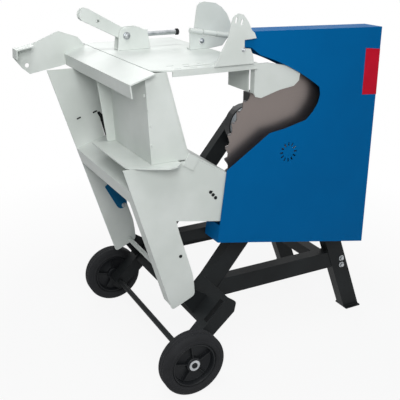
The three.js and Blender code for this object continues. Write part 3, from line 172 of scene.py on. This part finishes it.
# the six faces of a block whose corners run low and high in each of three directions
boxFaces = [[0, 1, 3, 2], [4, 6, 7, 5], [0, 4, 5, 1], [2, 3, 7, 6], [0, 2, 6, 4], [1, 5, 7, 3]]


def spunCopies(points, faces, angles, x, z):
    # one small shape written as radius, y and sideways reach, repeated round a Y axis:
    # x and z are the radius along each angle plus the reach across it
    points = np.asarray(points, dtype=float)
    angles = np.asarray(angles, dtype=float)[:, None]
    radius, y, reach = points[:, 0], points[:, 1], points[:, 2]
    spread = np.stack([x + radius * np.cos(angles) - reach * np.sin(angles),
                       np.broadcast_to(y, (len(angles), len(points))),
                       z + radius * np.sin(angles) + reach * np.cos(angles)], axis=-1)
    steps = np.arange(len(angles)) * len(points)
    allFaces = [[int(i) + int(step) for i in face] for step in steps for face in faces]
    return placeAll(spread.reshape(-1, 3)), allFaces


# Materials

def linearColour(hexCode):
    # sRGB hex to linear: a straight foot below the knee and a 2.4 power above it
    channels = [int(hexCode[i:i + 2], 16) / 255 for i in (1, 3, 5)]
    return tuple(c / 12.92 if c <= 0.04045 else ((c + 0.055) / 1.055) ** 2.4 for c in channels) + (1.0,)


def patternScale(size):
    # a noise texture's scale for patches this many millimetres across
    return 1 / (size * mm)


def addNode(tree, kind, inputs=None, **settings):
    node = tree.nodes.new(kind)
    for name, value in settings.items():
        setattr(node, name, value)
    for name, value in (inputs or {}).items():
        if isinstance(value, bpy.types.NodeSocket):
            tree.links.new(value, node.inputs[name])
        else:
            node.inputs[name].default_value = value
    return node


def startMaterial(name, roughness, metallic=0.0, specular=0.5):
    material = bpy.data.materials.new(name)
    material.use_nodes = True
    tree = material.node_tree
    shader = tree.nodes["Principled BSDF"]
    shader.inputs["Roughness"].default_value = roughness
    shader.inputs["Metallic"].default_value = metallic
    shader.inputs["Specular IOR Level"].default_value = specular
    return material, tree, shader


def objectCoordinates(tree):
    return addNode(tree, "ShaderNodeTexCoord").outputs["Object"]


def colourByNoise(tree, shader, noise, darkHex, paleHex, low=0.0, high=1.0):
    # the base colour runs from dark to pale as the noise rises from low to high
    ramp = addNode(tree, "ShaderNodeValToRGB", {"Fac": noise.outputs["Fac"]})
    dark, pale = ramp.color_ramp.elements
    dark.position, dark.color = low, linearColour(darkHex)
    pale.position, pale.color = high, linearColour(paleHex)
    tree.links.new(ramp.outputs["Color"], shader.inputs["Base Color"])


def tintDrift(tree, shader, spot, size, darkHex, paleHex, low=0.35, high=0.65):
    # the colour drifts slowly between two hex values over patches of one size
    noise = addNode(tree, "ShaderNodeTexNoise", {"Vector": spot, "Scale": patternScale(size), "Detail": 4.0})
    colourByNoise(tree, shader, noise, darkHex, paleHex, low, high)
    return noise


def spreadRoughness(tree, shader, noise, smooth, rough):
    # roughness follows the middle of the noise's range
    spread = addNode(tree, "ShaderNodeMapRange", {"Value": noise.outputs["Fac"], "From Min": 0.3,
                                                  "From Max": 0.7, "To Min": smooth, "To Max": rough})
    tree.links.new(spread.outputs["Result"], shader.inputs["Roughness"])


def grainBump(tree, shader, spot, size, height, edge=0.0):
    # fine relief of one size and height, with sheet edges rounded off in the shading
    noise = addNode(tree, "ShaderNodeTexNoise", {"Vector": spot, "Scale": patternScale(size), "Detail": 2.0})
    bump = addNode(tree, "ShaderNodeBump", {"Height": noise.outputs["Fac"], "Distance": height * mm,
                                            "Strength": 1.0})
    if edge:
        rounded = addNode(tree, "ShaderNodeBevel", {"Radius": edge * mm}, samples=4)
        tree.links.new(rounded.outputs["Normal"], bump.inputs["Normal"])
    tree.links.new(bump.outputs["Normal"], shader.inputs["Normal"])


def powderCoat(name, darkHex, paleHex, roughness, specular=0.4):
    # polyester powder, sprayed on steel sheet and baked: an even satin skin with a faint
    # orange peel about 2 mm across, a little coarse so that it shows
    material, tree, shader = startMaterial(name, roughness, specular=specular)
    spot = objectCoordinates(tree)
    drift = tintDrift(tree, shader, spot, 143, darkHex, paleHex)
    spreadRoughness(tree, shader, drift, roughness - 0.04, roughness + 0.06)
    grainBump(tree, shader, spot, size=1.92, height=0.05, edge=0.9)
    return material


def mouldedRubber(name, darkHex, paleHex):
    # rubber cured in a steel mould: dull, greyer where it has been rubbed, skin grain about 1 mm across
    material, tree, shader = startMaterial(name, 0.8, specular=0.2)
    spot = objectCoordinates(tree)
    drift = tintDrift(tree, shader, spot, 45.5, darkHex, paleHex, 0.3, 0.75)
    spreadRoughness(tree, shader, drift, 0.7, 0.88)
    grainBump(tree, shader, spot, size=1.11, height=0.04)
    return material


def evenSkin(name, darkHex, paleHex, roughness, specular):
    # a nearly even colour over a grain just under 1 mm across
    material, tree, shader = startMaterial(name, roughness, specular=specular)
    spot = objectCoordinates(tree)
    tintDrift(tree, shader, spot, 66.7, darkHex, paleHex)
    grainBump(tree, shader, spot, size=0.91, height=0.03, edge=0.6)
    return material


def mouldedPlastic(name, darkHex, paleHex, roughness, specular=0.5):
    # injection-moulded plastic: the spark-eroded mould leaves it a slight sheen and a fine grain
    return evenSkin(name, darkHex, paleHex, roughness, specular)


def vinylFilm(name, darkHex, paleHex):
    # self-adhesive vinyl film: one strong flat colour with little shine
    return evenSkin(name, darkHex, paleHex, 0.45, 0.12)


def sinteredCarbide(name, darkHex, paleHex):
    # tungsten carbide pressed, sintered and brazed on: dark grey and nearly matt beside the steel,
    # so it is shaded as a plain dark solid and not as bright metal
    return evenSkin(name, darkHex, paleHex, 0.35, 0.5)


def zincPlate(name, darkHex, paleHex):
    # steel plated with zinc in a bath: pale metal with faint cloudy patches
    material, tree, shader = startMaterial(name, 0.34, metallic=1.0)
    spot = objectCoordinates(tree)
    clouds = tintDrift(tree, shader, spot, 16.7, darkHex, paleHex)
    spreadRoughness(tree, shader, clouds, 0.28, 0.42)
    grainBump(tree, shader, spot, size=1.43, height=0.02, edge=0.5)
    return material


def groundSteel(name, centreX, centreZ, darkHex, paleHex):
    # saw steel ground on a turntable: fine rings about the arbor and a slight brown cast;
    # the rings are about 1 mm apart, coarser than real so that they show
    material, tree, shader = startMaterial(name, 0.42, metallic=1.0)
    middle = place(centreX, 0, centreZ)
    centred = addNode(tree, "ShaderNodeMapping", {"Vector": objectCoordinates(tree), "Scale": (1, 0, 1),
                                                  "Location": (-middle[0], 0, -middle[2])})
    radius = addNode(tree, "ShaderNodeVectorMath", {0: centred.outputs["Vector"]}, operation="LENGTH")
    rings = addNode(tree, "ShaderNodeTexNoise", {"W": radius.outputs["Value"], "Detail": 3.0,
                                                 "Scale": patternScale(1.11)}, noise_dimensions="1D")
    colourByNoise(tree, shader, rings, darkHex, paleHex)
    spreadRoughness(tree, shader, rings, 0.36, 0.48)
    bump = addNode(tree, "ShaderNodeBump", {"Height": rings.outputs["Fac"], "Distance": 0.02 * mm,
                                            "Strength": 0.6})
    tree.links.new(bump.outputs["Normal"], shader.inputs["Normal"])
    return material


blade = {"x": 427.0, "z": 665.0, "y": 155.0, "radius": 252.5, "teeth": 44, "tipWidth": 4.4,
         "tipHeight": 8.0, "tipInset": 0.2, "tipSlant": 1.4, "tipThickness": 3.2}

# the deep colours have a low specular level, so that the white room doesn't wash them out
whiteCoat = powderCoat("whitePowderCoat", "#CDD3CE", "#D9DEDA", 0.44)
blueCoat = powderCoat("bluePowderCoat", "#005D98", "#00609C", 0.46, 0.04)
braceCoat = powderCoat("petrolBluePowderCoat", "#0A5078", "#0F608C", 0.46, 0.1)
blackCoat = powderCoat("blackPowderCoat", "#191B1C", "#232627", 0.5, 0.12)
greyCoat = powderCoat("silverGreyMotorPaint", "#84898D", "#969BA0", 0.42)  # sprayed on the cast barrel
tyreRubber = mouldedRubber("mouldedTyreRubber", "#1B1C1E", "#2D2E30")
blackPlastic = mouldedPlastic("blackPolypropylene", "#15171A", "#1E2022", 0.5, 0.2)
greenPlastic = mouldedPlastic("greenAbs", "#187A33", "#1F8F3C", 0.35)
redPlastic = mouldedPlastic("redAbs", "#A8141C", "#C01A22", 0.35)
redFilm = vinylFilm("redVinylFilm", "#B80A26", "#C40D2B")
zinc = zincPlate("zincPlatedSteel", "#A9ADB0", "#C9CCCE")
# the two steel colours are set darker than bare steel: painted shade for the blade lying in the guard's
# shadow
shadedBladeSteel = groundSteel("groundSawSteel", blade["x"], blade["z"], "#6E6663", "#978E8A")
carbide = sinteredCarbide("brazedCarbide", "#4C4F52", "#5B5E61")

coatOfSlot = {
    "black_paint": blackCoat,
    "white_paint": whiteCoat,
    "blue_paint": blueCoat,
    "navy_paint": braceCoat,
    "tyre": tyreRubber,
    "rubber": tyreRubber,
    "black_plastic": blackPlastic,
    "motor_grey": greyCoat,
    "zinc": zinc,
    "blade_steel": shadedBladeSteel,
    "green_plastic": greenPlastic,
    "red_plastic": redPlastic,
}

slotOfNode = {entry["node"]: entry["material_slot"] for entry in frame["record"]["subparts"]}
for nodeName, node in frame["nodes"].items():
    for materialSlot in node.material_slots:
        materialSlot.material = coatOfSlot[slotOfNode[nodeName]]
print("materials given")


# Wheels

wheel = {
    "radius": 100.0,
    "width": 52.0,
    "tyreInner": 70.0,
    "backY": 645.0,
}
tyre = {
    "steps": 480,
    # wall: height above the inner radius and share of half the width
    "wall": [(0.4, 0.78), (2, 0.9), (6, 0.985), (9, 1), (11, 0.985), (12, 0.95), (15, 0.95),
             (19, 0.93), (23, 0.86)],
    # shoulder: depth below the tread and share of half the width
    "shoulder": [(3.4, 0.78), (1.2, 0.69), (0.3, 0.6)],
    "treadShare": 0.55,
    "treadRows": 25,
    "boreShare": 0.6,
    "boreRows": 5,
    # tread: grooves round the wheel and slanted cuts between them and the shoulders
    "grooveDepth": 1.6,
    "grooveAt": 0.22,
    "grooveReach": 0.045,
    "blocks": 60,
    "cutSlant": 5,
    "cutFrom": 0.3,
    "cutWave": 0.72,
    "cutDepthShare": 0.7,
}
rim = {
    "steps": 96,
    # one face of the section, from the bore out: radius and distance from the middle
    "face": [(9.5, 18), (21, 18), (22.5, 16.5), (23.5, 3.5), (26, 2.2), (58, 2.2), (61, 4), (63, 18),
             (64.5, 20.5), (68, 20.8)],
    "felloeGap": 0.1,
    "felloeHalf": 19,
    "ribs": 5,
    "firstRib": 0.4,  # radians
    "ribEnds": [(21.5, 13.5), (62.8, 9.5)],  # radius and height
    "ribFoot": 1.5,
    "ribHalfWidth": 2.4,
    "ribDraft": 0.35,
}


def tyreShape(yLow):
    # the section is a rounded box: flat tread, curved shoulders and a raised ring on each wall;
    # the tread sinks in two rings, and where a sine that runs round the wheel is near its crest
    half = wheel["width"] / 2
    middle = yLow + half
    outer, inner = wheel["radius"], wheel["tyreInner"]
    side = [(inner + rise, -half * share) for rise, share in tyre["wall"]]
    side += [(outer - drop, -half * share) for drop, share in tyre["shoulder"]]
    treadReach, boreReach = half * tyre["treadShare"], half * tyre["boreShare"]
    tread = [(outer, y) for y in np.linspace(-treadReach, treadReach, tyre["treadRows"])]
    mirrored = [(r, -y) for r, y in reversed(side)]
    bore = [(side[0][0], y) for y in np.linspace(boreReach, -boreReach, tyre["boreRows"])]
    profile = [(r, middle + y) for r, y in side + tread + mirrored + bore]

    def notches(section, angle):
        across = (section[:, 1:2] - middle) / half
        onTread = section[:, :1] >= outer
        grooves = (np.abs(np.abs(across) - tyre["grooveAt"]) < tyre["grooveReach"]) * 1.0
        wave = np.sin(angle[None, :] * tyre["blocks"] + across * tyre["cutSlant"])
        cuts = (wave > tyre["cutWave"]) * (np.abs(across) > tyre["cutFrom"])
        depth = onTread * tyre["grooveDepth"] * np.maximum(grooves, cuts * tyre["cutDepthShare"])
        return -depth

    return turnedShape(profile, 0, wheel["radius"], tyre["steps"], notches)


def rimShape(yLow):
    # a dished disc, a stepped hub and a felloe in one closed section turned about the axle,
    # with ribs on both faces that narrow away from the disc and get lower toward the felloe
    middle = yLow + wheel["width"] / 2
    face = rim["face"] + [(wheel["tyreInner"] - rim["felloeGap"], rim["felloeHalf"])]
    mirrored = [(r, -y) for r, y in reversed(face)]
    section = mirrored[-1:] + face + mirrored[:-1]
    disc = turnedShape([(r, middle + y) for r, y in section], 0, wheel["radius"], rim["steps"])
    angles = np.arange(rim["ribs"]) * 2 * math.pi / rim["ribs"] + rim["firstRib"]
    shapes = [disc]
    for facing in (-1, 1):
        rib = [(radius, middle + facing * (rim["ribFoot"] + y), sideways * (1 - rim["ribDraft"] * (y > 0)))
               for radius, height in rim["ribEnds"]
               for sideways in (-rim["ribHalfWidth"], rim["ribHalfWidth"])
               for y in (0.0, height)]
        shapes.append(spunCopies(rib, boxFaces, angles, 0, wheel["radius"]))
    return joinShapes(shapes)


for side, yLow in (("front", 0.0), ("back", wheel["backY"])):
    body = f"{side}_wheel"
    makePiece(f"{side}TyreRubber", tyreShape(yLow), tyreRubber, body, (f"{side}_tyre",))
    makePiece(f"{side}RimMoulding", rimShape(yLow), blackPlastic, body, (f"{side}_rim",))
print("wheels made")


# Round bars: the axle, the cradle's white shaft and the clamp's rod

barSides = 48
bars = {
    "axle": {"start": (0, 2, 100), "axis": (0, 1, 0), "radius": 9, "length": 693, "chamfer": 1.5},
    "pivotShaft": {"start": (38, 131, 262), "axis": (0, 1, 0), "radius": 8, "length": 486, "chamfer": 1},
    "clampRod": {"start": (46.5, 500, 984), "axis": (1, 0, 0), "radius": 7.5, "length": 139.5, "chamfer": 1},
    "clampTip": {"start": (186.3, 500, 984), "axis": (1, 0, 0), "radius": 10, "length": 10, "chamfer": 1.5},
}


def namedBar(name):
    bar = bars[name]
    return chamferedBar(bar["start"], bar["axis"], bar["radius"], bar["length"], barSides, bar["chamfer"])


makePiece("axleBar", namedBar("axle"), blackCoat, "base", ("axle",))
makePiece("pivotShaftBar", namedBar("pivotShaft"), whiteCoat, "base", ("pivot_shaft",))
makePiece("clampRodBar", namedBar("clampRod"), zinc, "push_rod", ("clamp_rod",))
makePiece("clampTipRubber", namedBar("clampTip"), tyreRubber, "push_rod", ("clamp_rod_tip",))
print("round bars made")


# Guard and blade

label = {"corners": [(639, 954), (694, 948), (695, 809), (639, 813)], "thickness": 0.5, "y": 119.4}


def carbideTips():
    # a small brazed block behind each cutting face, a little wider than the blade,
    # its foot set aside so that its faces lean
    half = blade["tipWidth"] / 2
    outer, inner = blade["radius"] - blade["tipInset"], blade["radius"] - blade["tipHeight"]
    tip = [(radius, blade["y"] + y, reach)
           for radius, slant in ((inner, -blade["tipSlant"]), (outer, 0.0))
           for y in (-half, half)
           for reach in (slant, slant + blade["tipThickness"])]
    angles = math.pi / 2 - np.arange(blade["teeth"]) * 2 * math.pi / blade["teeth"]
    return spunCopies(tip, boxFaces, angles, blade["x"], blade["z"])


labelPlate = plateShape(label["corners"], label["y"], label["y"] + label["thickness"])
makePiece("redLabelPlate", labelPlate, redFilm, "base")
makePiece("bladeCarbideTips", carbideTips(), carbide, "blade")
print("guard and blade dressed")


# Motor with its cooling fins, and the push buttons

motor = {
    "x": 427.0, "z": 665.0,
    "from": 252.3, "length": 190.0, "radius": 67.5,
    "bore": 6, "edge": 2, "endRing": 21, "ringStep": 2.0, "finsFrom": 24,
    "fins": 28, "finDepth": 4.0, "finFlatness": 3.5, "finBias": 0.15, "stepsPerFin": 18,
    "slope": math.radians(50.9), "under": 70.0, "footSeat": 0.3,
    # the foot: share of half its width and share of its height, round the outline
    "footWidth": 100.0, "footHeight": 12.0,
    "footOutline": [(-1, 0), (1, 0), (1, 1), (0.5, 1.8), (-0.5, 1.8), (-1, 1)],
}
button = {
    "from": 465.0, "length": 14.0, "radius": 11.0, "edge": 0.5,
    "dome": [(1.6, 0), (0.6, 0.7), (0.1, 2.4)],  # distance below the head and inward
    "flatShare": 0.4, "sides": 48,
    "z": 765.3, "startY": 369.3, "stopY": 325.3,
}


def motorShape():
    # a barrel turned about the shaft, whose radius between two smooth end rings rises and falls
    # with a flattened cosine of the angle, one wave for each fin
    start, end = motor["from"], motor["from"] + motor["length"]
    ring, root = motor["radius"], motor["radius"] - motor["ringStep"]
    edge, endRing, bore = motor["edge"], motor["endRing"], motor["bore"]
    slopeEnd = endRing + motor["ringStep"]
    firstFin, lastFin = start + motor["finsFrom"], end - motor["finsFrom"]
    profile = [(bore, start), (ring - edge, start), (ring, start + edge), (ring, start + endRing),
               (root, start + slopeEnd), (root, firstFin), (root, lastFin), (root, end - slopeEnd),
               (ring, end - endRing), (ring, end - edge), (ring - edge, end), (bore, end)]

    def fins(section, angle):
        along = section[:, 1:2]
        between = (along >= firstFin) & (along <= lastFin)
        crest = np.cos(angle[None, :] * motor["fins"]) - motor["finBias"]
        return between * (np.tanh(motor["finFlatness"] * crest) + 1) / 2 * motor["finDepth"]

    barrel = turnedShape(profile, motor["x"], motor["z"], motor["fins"] * motor["stepsPerFin"], fins)
    run = np.array([math.cos(motor["slope"]), math.sin(motor["slope"])])
    rise = np.array([-run[1], run[0]])
    half, low = motor["footWidth"] / 2, motor["footSeat"] - motor["under"]
    centre = np.array([motor["x"], motor["z"]])
    corners = [centre + run * half * along + rise * (low + motor["footHeight"] * up)
               for along, up in motor["footOutline"]]
    return joinShapes([barrel, plateShape(corners, firstFin, lastFin)])


def buttonShape(y):
    # a round cap with a softly domed head
    length, radius = button["length"], button["radius"]
    profile = [(0, radius - button["edge"]), (button["edge"], radius)]
    profile += [(length - below, radius - inward) for below, inward in button["dome"]]
    profile += [(length, radius * button["flatShare"])]
    return barShape((button["from"], y, button["z"]), (1, 0, 0), profile, button["sides"])


startCap, stopCap = buttonShape(button["startY"]), buttonShape(button["stopY"])
makePiece("finnedMotorCasting", motorShape(), greyCoat, "base", ("motor_body",))
makePiece("startButtonCap", startCap, greenPlastic, "start_push", ("start_button",))
makePiece("stopButtonCap", stopCap, redPlastic, "stop_push", ("stop_button",))
print("motor and buttons made")


# Small fasteners, black screw heads that paint the shade of holes, and the painted shade on the cradle's back
# plate

bolt = {
    # shares of the width across flats
    "washerRadius": 0.78, "headHeight": 0.5,
    # shares of the head's height and of its corner radius
    "chamferFrom": 0.75, "topCorner": 0.86, "domeFoot": 0.62, "domeTop": 0.5,
    "washerHeight": 1.6, "washerEdge": 0.3, "washerSides": 28, "domeHeight": 0.5, "domeSides": 20,
    "turn": 0.3,
}
boltsOfBody = {
    # seat, direction of the head and width across flats
    "base": [
        ((681.5, 200, 209.9), (0, -1, 0), 13),
        ((684, 200, 183.8), (0, -1, 0), 13),
    ],
    "cradle": [
        ((21.5, 580.7, 396.5), (0, -1, 0), 11),
        ((15, 484, 984), (0, -1, 0), 15),
        ((15, 516, 984), (0, 1, 0), 15),
        ((203, 110, 981), (0, -1, 0), 8),
        ((228, 400, 966), (0, -1, 0), 10),
        ((205, 126, 945.3), (0, 0, 1), 8),
        ((155, 126, 945.3), (0, 0, 1), 8),
    ],
}
# black screw heads capped over the hole in the front leg and the three holes in the gusset, so that these
# holes read dark: painted shade of the holes
screw = {
    "spots": [(16.1, 126, 397.5), (113.5, 126, 580.3), (121.8, 126, 570.6), (130.2, 126, 560.2)],
    "head": [(0, 5.2), (1, 5.2), (2.2, 4), (2.6, 2.2)],  # distance and radius
    "sides": 24,
}
# painted shade: a dark strip where the gap between the back plate and the trough's outer wall lies in shade,
# and two short dark slots, all as thin plates
backPlatePaintedShade = {
    "y": 583.8, "thickness": 0.9, "slotRadius": 2.4, "slotEndSteps": 9,
    "strip": [(-57, 731), (-50, 735.5), (-32.8, 716.5), (-7.4, 611.2), (-15.1, 613), (-26.2, 623.2),
              (-49, 716)],
    "slots": [((-124, 719), (-114.5, 722.5)), ((-69.5, 733.5), (-59.5, 737.3))],
}


def boltShape(seat, axis, flats):
    # a washer, a hexagon head with drawn-in corners and a low dome on it
    corner, height, washer = flats / math.sqrt(3), flats * bolt["headHeight"], bolt["washerHeight"]
    start = np.array(seat, dtype=float)
    reach = np.array(axis, dtype=float)
    head = [(0, corner), (height * bolt["chamferFrom"], corner), (height, corner * bolt["topCorner"])]
    dome = [(0, corner * bolt["domeFoot"]), (bolt["domeHeight"], corner * bolt["domeTop"])]
    washerRadius = flats * bolt["washerRadius"]
    return joinShapes([
        chamferedBar(start, axis, washerRadius, washer, bolt["washerSides"], bolt["washerEdge"]),
        barShape(start + reach * washer, axis, head, 6, bolt["turn"]),
        barShape(start + reach * (washer + height), axis, dome, bolt["domeSides"]),
    ])


def slotOutline(start, end, radius):
    # a straight slot: half a circle round each end, opened along the line between them
    (x0, z0), (x1, z1) = start, end
    along = math.atan2(z1 - z0, x1 - x0)
    half = np.linspace(-math.pi / 2, math.pi / 2, backPlatePaintedShade["slotEndSteps"])
    run, rise = radius * np.cos(along + half), radius * np.sin(along + half)
    far = np.stack([x1 + run, z1 + rise], axis=-1)
    near = np.stack([x0 - run, z0 - rise], axis=-1)
    return np.concatenate([far, near])


def paintedShadePlaces():
    # painted shade: the strip, for the shaded gap between the back plate and the trough's outer wall, and the
    # two short slots, as thin dark plates on the front of the cradle's back plate
    low, high = backPlatePaintedShade["y"], backPlatePaintedShade["y"] + backPlatePaintedShade["thickness"]
    radius = backPlatePaintedShade["slotRadius"]
    outlines = [backPlatePaintedShade["strip"]]
    outlines += [slotOutline(start, end, radius) for start, end in backPlatePaintedShade["slots"]]
    return joinShapes([plateShape(outline, low, high) for outline in outlines])


for body, bolts in boltsOfBody.items():
    heads = joinShapes([boltShape(seat, axis, flats) for seat, axis, flats in bolts])
    makePiece(f"{body}ZincBolts", heads, zinc, body)
screws = [barShape(spot, (0, -1, 0), screw["head"], screw["sides"]) for spot in screw["spots"]]
# the black heads stand in for the shade inside these holes
makePiece("frontLegHoleShadeScrews", joinShapes(screws), blackCoat, "cradle")
# painted shade, laid as thin black plates on the front of the back plate
makePiece("backPlateDarkStrip", paintedShadePlaces(), blackCoat, "cradle")
print("fasteners made")


# Welds

bead = {"sides": 8, "fewestRings": 8, "ringsPerRipple": 4, "ripple": 0.2, "endPower": 16, "endSliver": 0.0005}
frameWeld = {
    "radius": 3.0, "pitch": 4.5, "frontY": 200.0, "backY": 595.0,
    # lower end, upper end and depth of the tube that is welded on
    "joints": [
        ((645, 184), (622.2, 244), 40.0),  # beam to leg
        ((155.7, 184), (204.4, 244), 40.0),  # beam to diagonal
        ((255.5, 402), (283.9, 437), 35.0),  # rest arm to diagonal
    ],
    "footFrom": 714, "footTo": 776, "footZ": 5.5, "footDepth": 40.0,
}
tack = {
    "radius": 2.6, "length": 9.0, "lean": 1, "y": 125.8,
    "spots": [(-85.1, 881), (-74, 840), (-68.5, 798), (-66, 744)],
}


def beadShape(start, end, radius, pitch):
    # a weld bead: rings carried along a line, each with the radius times a swell that follows the
    # size of a sine, once per ripple, times the root of one less a high power of the distance
    # from the middle, which falls to a sliver at both ends
    start, end = np.array(start, dtype=float), np.array(end, dtype=float)
    run = end - start
    length = float(np.linalg.norm(run))
    count = max(bead["fewestRings"], int(length / pitch * bead["ringsPerRipple"]))
    s = np.linspace(0, 1, count)
    swell = 1 - bead["ripple"] + bead["ripple"] * np.abs(np.sin(s * length / pitch * math.pi))
    taper = np.sqrt(np.clip(1 + bead["endSliver"] - (2 * s - 1) ** bead["endPower"], 0, 1))
    centre = start[None, :] + run[None, :] * s[:, None]
    ring = crossRing(Vector(run).normalized(), bead["sides"])
    points = centre[:, None, :] + ring[None, :, :] * (radius * swell * taper)[:, None, None]
    return placeAll(points.reshape(-1, 3)), tubeFaces(count, bead["sides"])


def frameWelds():
    lines = []
    for y in (frameWeld["frontY"], frameWeld["backY"]):
        for (x0, z0), (x1, z1), depth in frameWeld["joints"]:
            lines.append(((x0, y, z0), (x1, y, z1)))
            lines.append(((x0, y + depth, z0), (x1, y + depth, z1)))
            lines.append(((x1, y, z1), (x1, y + depth, z1)))
        for footY in (y, y + frameWeld["footDepth"]):
            lines.append(((frameWeld["footFrom"], footY, frameWeld["footZ"]),
                          (frameWeld["footTo"], footY, frameWeld["footZ"])))
    radius, pitch = frameWeld["radius"], frameWeld["pitch"]
    return joinShapes([beadShape(start, end, radius, pitch) for start, end in lines])


def cheekTacks():
    half, y, lean = tack["length"] / 2, tack["y"], tack["lean"]
    radius, pitch = tack["radius"], frameWeld["pitch"]
    return joinShapes([beadShape((x, y, z - half), (x - lean, y, z + half), radius, pitch)
                       for x, z in tack["spots"]])


beadSharpAngle = 80  # degrees, so that the ripples shade softly
makePiece("frameWeldBeads", frameWelds(), blackCoat, "base", sharpAngle=beadSharpAngle)
makePiece("cheekTackWelds", cheekTacks(), whiteCoat, "cradle", sharpAngle=beadSharpAngle)
print("welds made")


# Floor, light and camera

stage = {
    "floorSize": 80.0,
    "floorHex": "#BEBEBE", "floorRoughness": 0.9,
    "white": "#FFFFFF", "nearShare": 0.9, "fadeFrom": 0.7, "fadeTo": 1.7,  # metres
    "skyHex": "#F2F6FA", "skyStrength": 0.3,
}
lamps = {  # places and sizes in metres, power in watts
    "keySoftbox": {"spot": (-0.6, -0.8, 3.2), "target": (0, 0, 0.5), "size": 1.6, "power": 30},
    "fillSoftbox": {"spot": (-1.1, -2.3, 2.0), "target": (-0.1, 0, 0.75), "size": 1.2, "power": 41},
    "backSoftbox": {"spot": (0.4, 2.8, 2.4), "target": (0, 0, 0.6), "size": 2.0, "power": 28},
}
camera = {
    "spot": (-769.3, -1484.4, 1272.3),  # millimetres, from the same zero as the pieces
    "yaw": 0.485, "pitch": 0.372, "roll": 0.003,  # radians
    "lens": 61.4, "sensor": 36.0,
    "nearClip": 0.05, "farClip": 120,  # metres
}


def seenDirectly(tree, path):
    # one for the camera's own rays and for reflections, nought for the light on the object
    seen = addNode(tree, "ShaderNodeMath", {
        0: path.outputs["Is Camera Ray"], 1: path.outputs["Is Glossy Ray"]}, operation="MAXIMUM")
    return seen.outputs["Value"]


def makeFloor():
    # pale near the saw, where it keeps the shadow, and wholly white to the eye farther out
    half = stage["floorSize"] / 2
    corners = [(-half, -half, 0), (half, -half, 0), (half, half, 0), (-half, half, 0)]
    mesh = bpy.data.meshes.new("floor")
    mesh.from_pydata(corners, [], [(0, 1, 2, 3)])
    floor = bpy.data.objects.new("floor", mesh)
    bpy.context.scene.collection.objects.link(floor)
    material, tree, shader = startMaterial("paleFloor", stage["floorRoughness"])
    shader.inputs["Base Color"].default_value = linearColour(stage["floorHex"])
    glow = addNode(tree, "ShaderNodeEmission", {"Color": linearColour(stage["white"]), "Strength": 1.0})
    path = addNode(tree, "ShaderNodeLightPath")
    distance = addNode(tree, "ShaderNodeVectorMath", {0: objectCoordinates(tree)}, operation="LENGTH")
    fade = addNode(tree, "ShaderNodeMapRange", {
        "Value": distance.outputs["Value"], "From Min": stage["fadeFrom"], "From Max": stage["fadeTo"],
        "To Min": stage["nearShare"], "To Max": 1.0})
    share = addNode(tree, "ShaderNodeMath", {0: seenDirectly(tree, path), 1: fade.outputs["Result"]},
                    operation="MULTIPLY")
    blend = addNode(tree, "ShaderNodeMixShader", {
        "Fac": share.outputs["Value"], 1: shader.outputs["BSDF"], 2: glow.outputs["Emission"]})
    tree.links.new(blend.outputs["Shader"], tree.nodes["Material Output"].inputs["Surface"])
    mesh.materials.append(material)


def makeWorld():
    # a weak pale sky lights the object, and plain white stands behind it and in its reflections
    world = bpy.data.worlds.new("paleStudio")
    bpy.context.scene.world = world
    world.use_nodes = True
    tree = world.node_tree
    light = tree.nodes["Background"]
    light.inputs["Color"].default_value = linearColour(stage["skyHex"])
    light.inputs["Strength"].default_value = stage["skyStrength"]
    white = addNode(tree, "ShaderNodeBackground", {"Color": linearColour(stage["white"]), "Strength": 1.0})
    path = addNode(tree, "ShaderNodeLightPath")
    seen = addNode(tree, "ShaderNodeMath", {
        0: seenDirectly(tree, path), 1: path.outputs["Is Transmission Ray"]}, operation="MAXIMUM")
    blend = addNode(tree, "ShaderNodeMixShader", {
        "Fac": seen.outputs["Value"], 1: light.outputs["Background"], 2: white.outputs["Background"]})
    tree.links.new(blend.outputs["Shader"], tree.nodes["World Output"].inputs["Surface"])


def addLamp(name, lamp):
    data = bpy.data.lights.new(name, "AREA")
    data.shape = "DISK"
    data.size = lamp["size"]
    data.energy = lamp["power"]
    softbox = bpy.data.objects.new(name, data)
    softbox.location = lamp["spot"]
    aim = Vector(lamp["target"]) - Vector(lamp["spot"])
    softbox.rotation_euler = aim.to_track_quat("-Z", "Y").to_euler()
    bpy.context.scene.collection.objects.link(softbox)


def addCamera():
    # looks along a line turned by yaw from +Y toward +X and dipped by pitch, then rolled about it
    data = bpy.data.cameras.new("photoCamera")
    data.lens = camera["lens"]
    data.sensor_width = camera["sensor"]
    data.clip_start, data.clip_end = camera["nearClip"], camera["farClip"]
    eye = bpy.data.objects.new("photoCamera", data)
    eye.location = place(*camera["spot"])
    level = math.cos(camera["pitch"])
    forward = Vector((level * math.sin(camera["yaw"]), level * math.cos(camera["yaw"]),
                      -math.sin(camera["pitch"])))
    turn = forward.to_track_quat("-Z", "Y").to_matrix().to_4x4()
    eye.rotation_euler = (turn @ Matrix.Rotation(camera["roll"], 4, "Z")).to_euler()
    bpy.context.scene.collection.objects.link(eye)
    bpy.context.scene.camera = eye


makeFloor()
makeWorld()
for lampName, lamp in lamps.items():
    addLamp(lampName, lamp)
addCamera()
bpy.context.scene.view_settings.view_transform = "Standard"
print("stage, lamps and camera set")
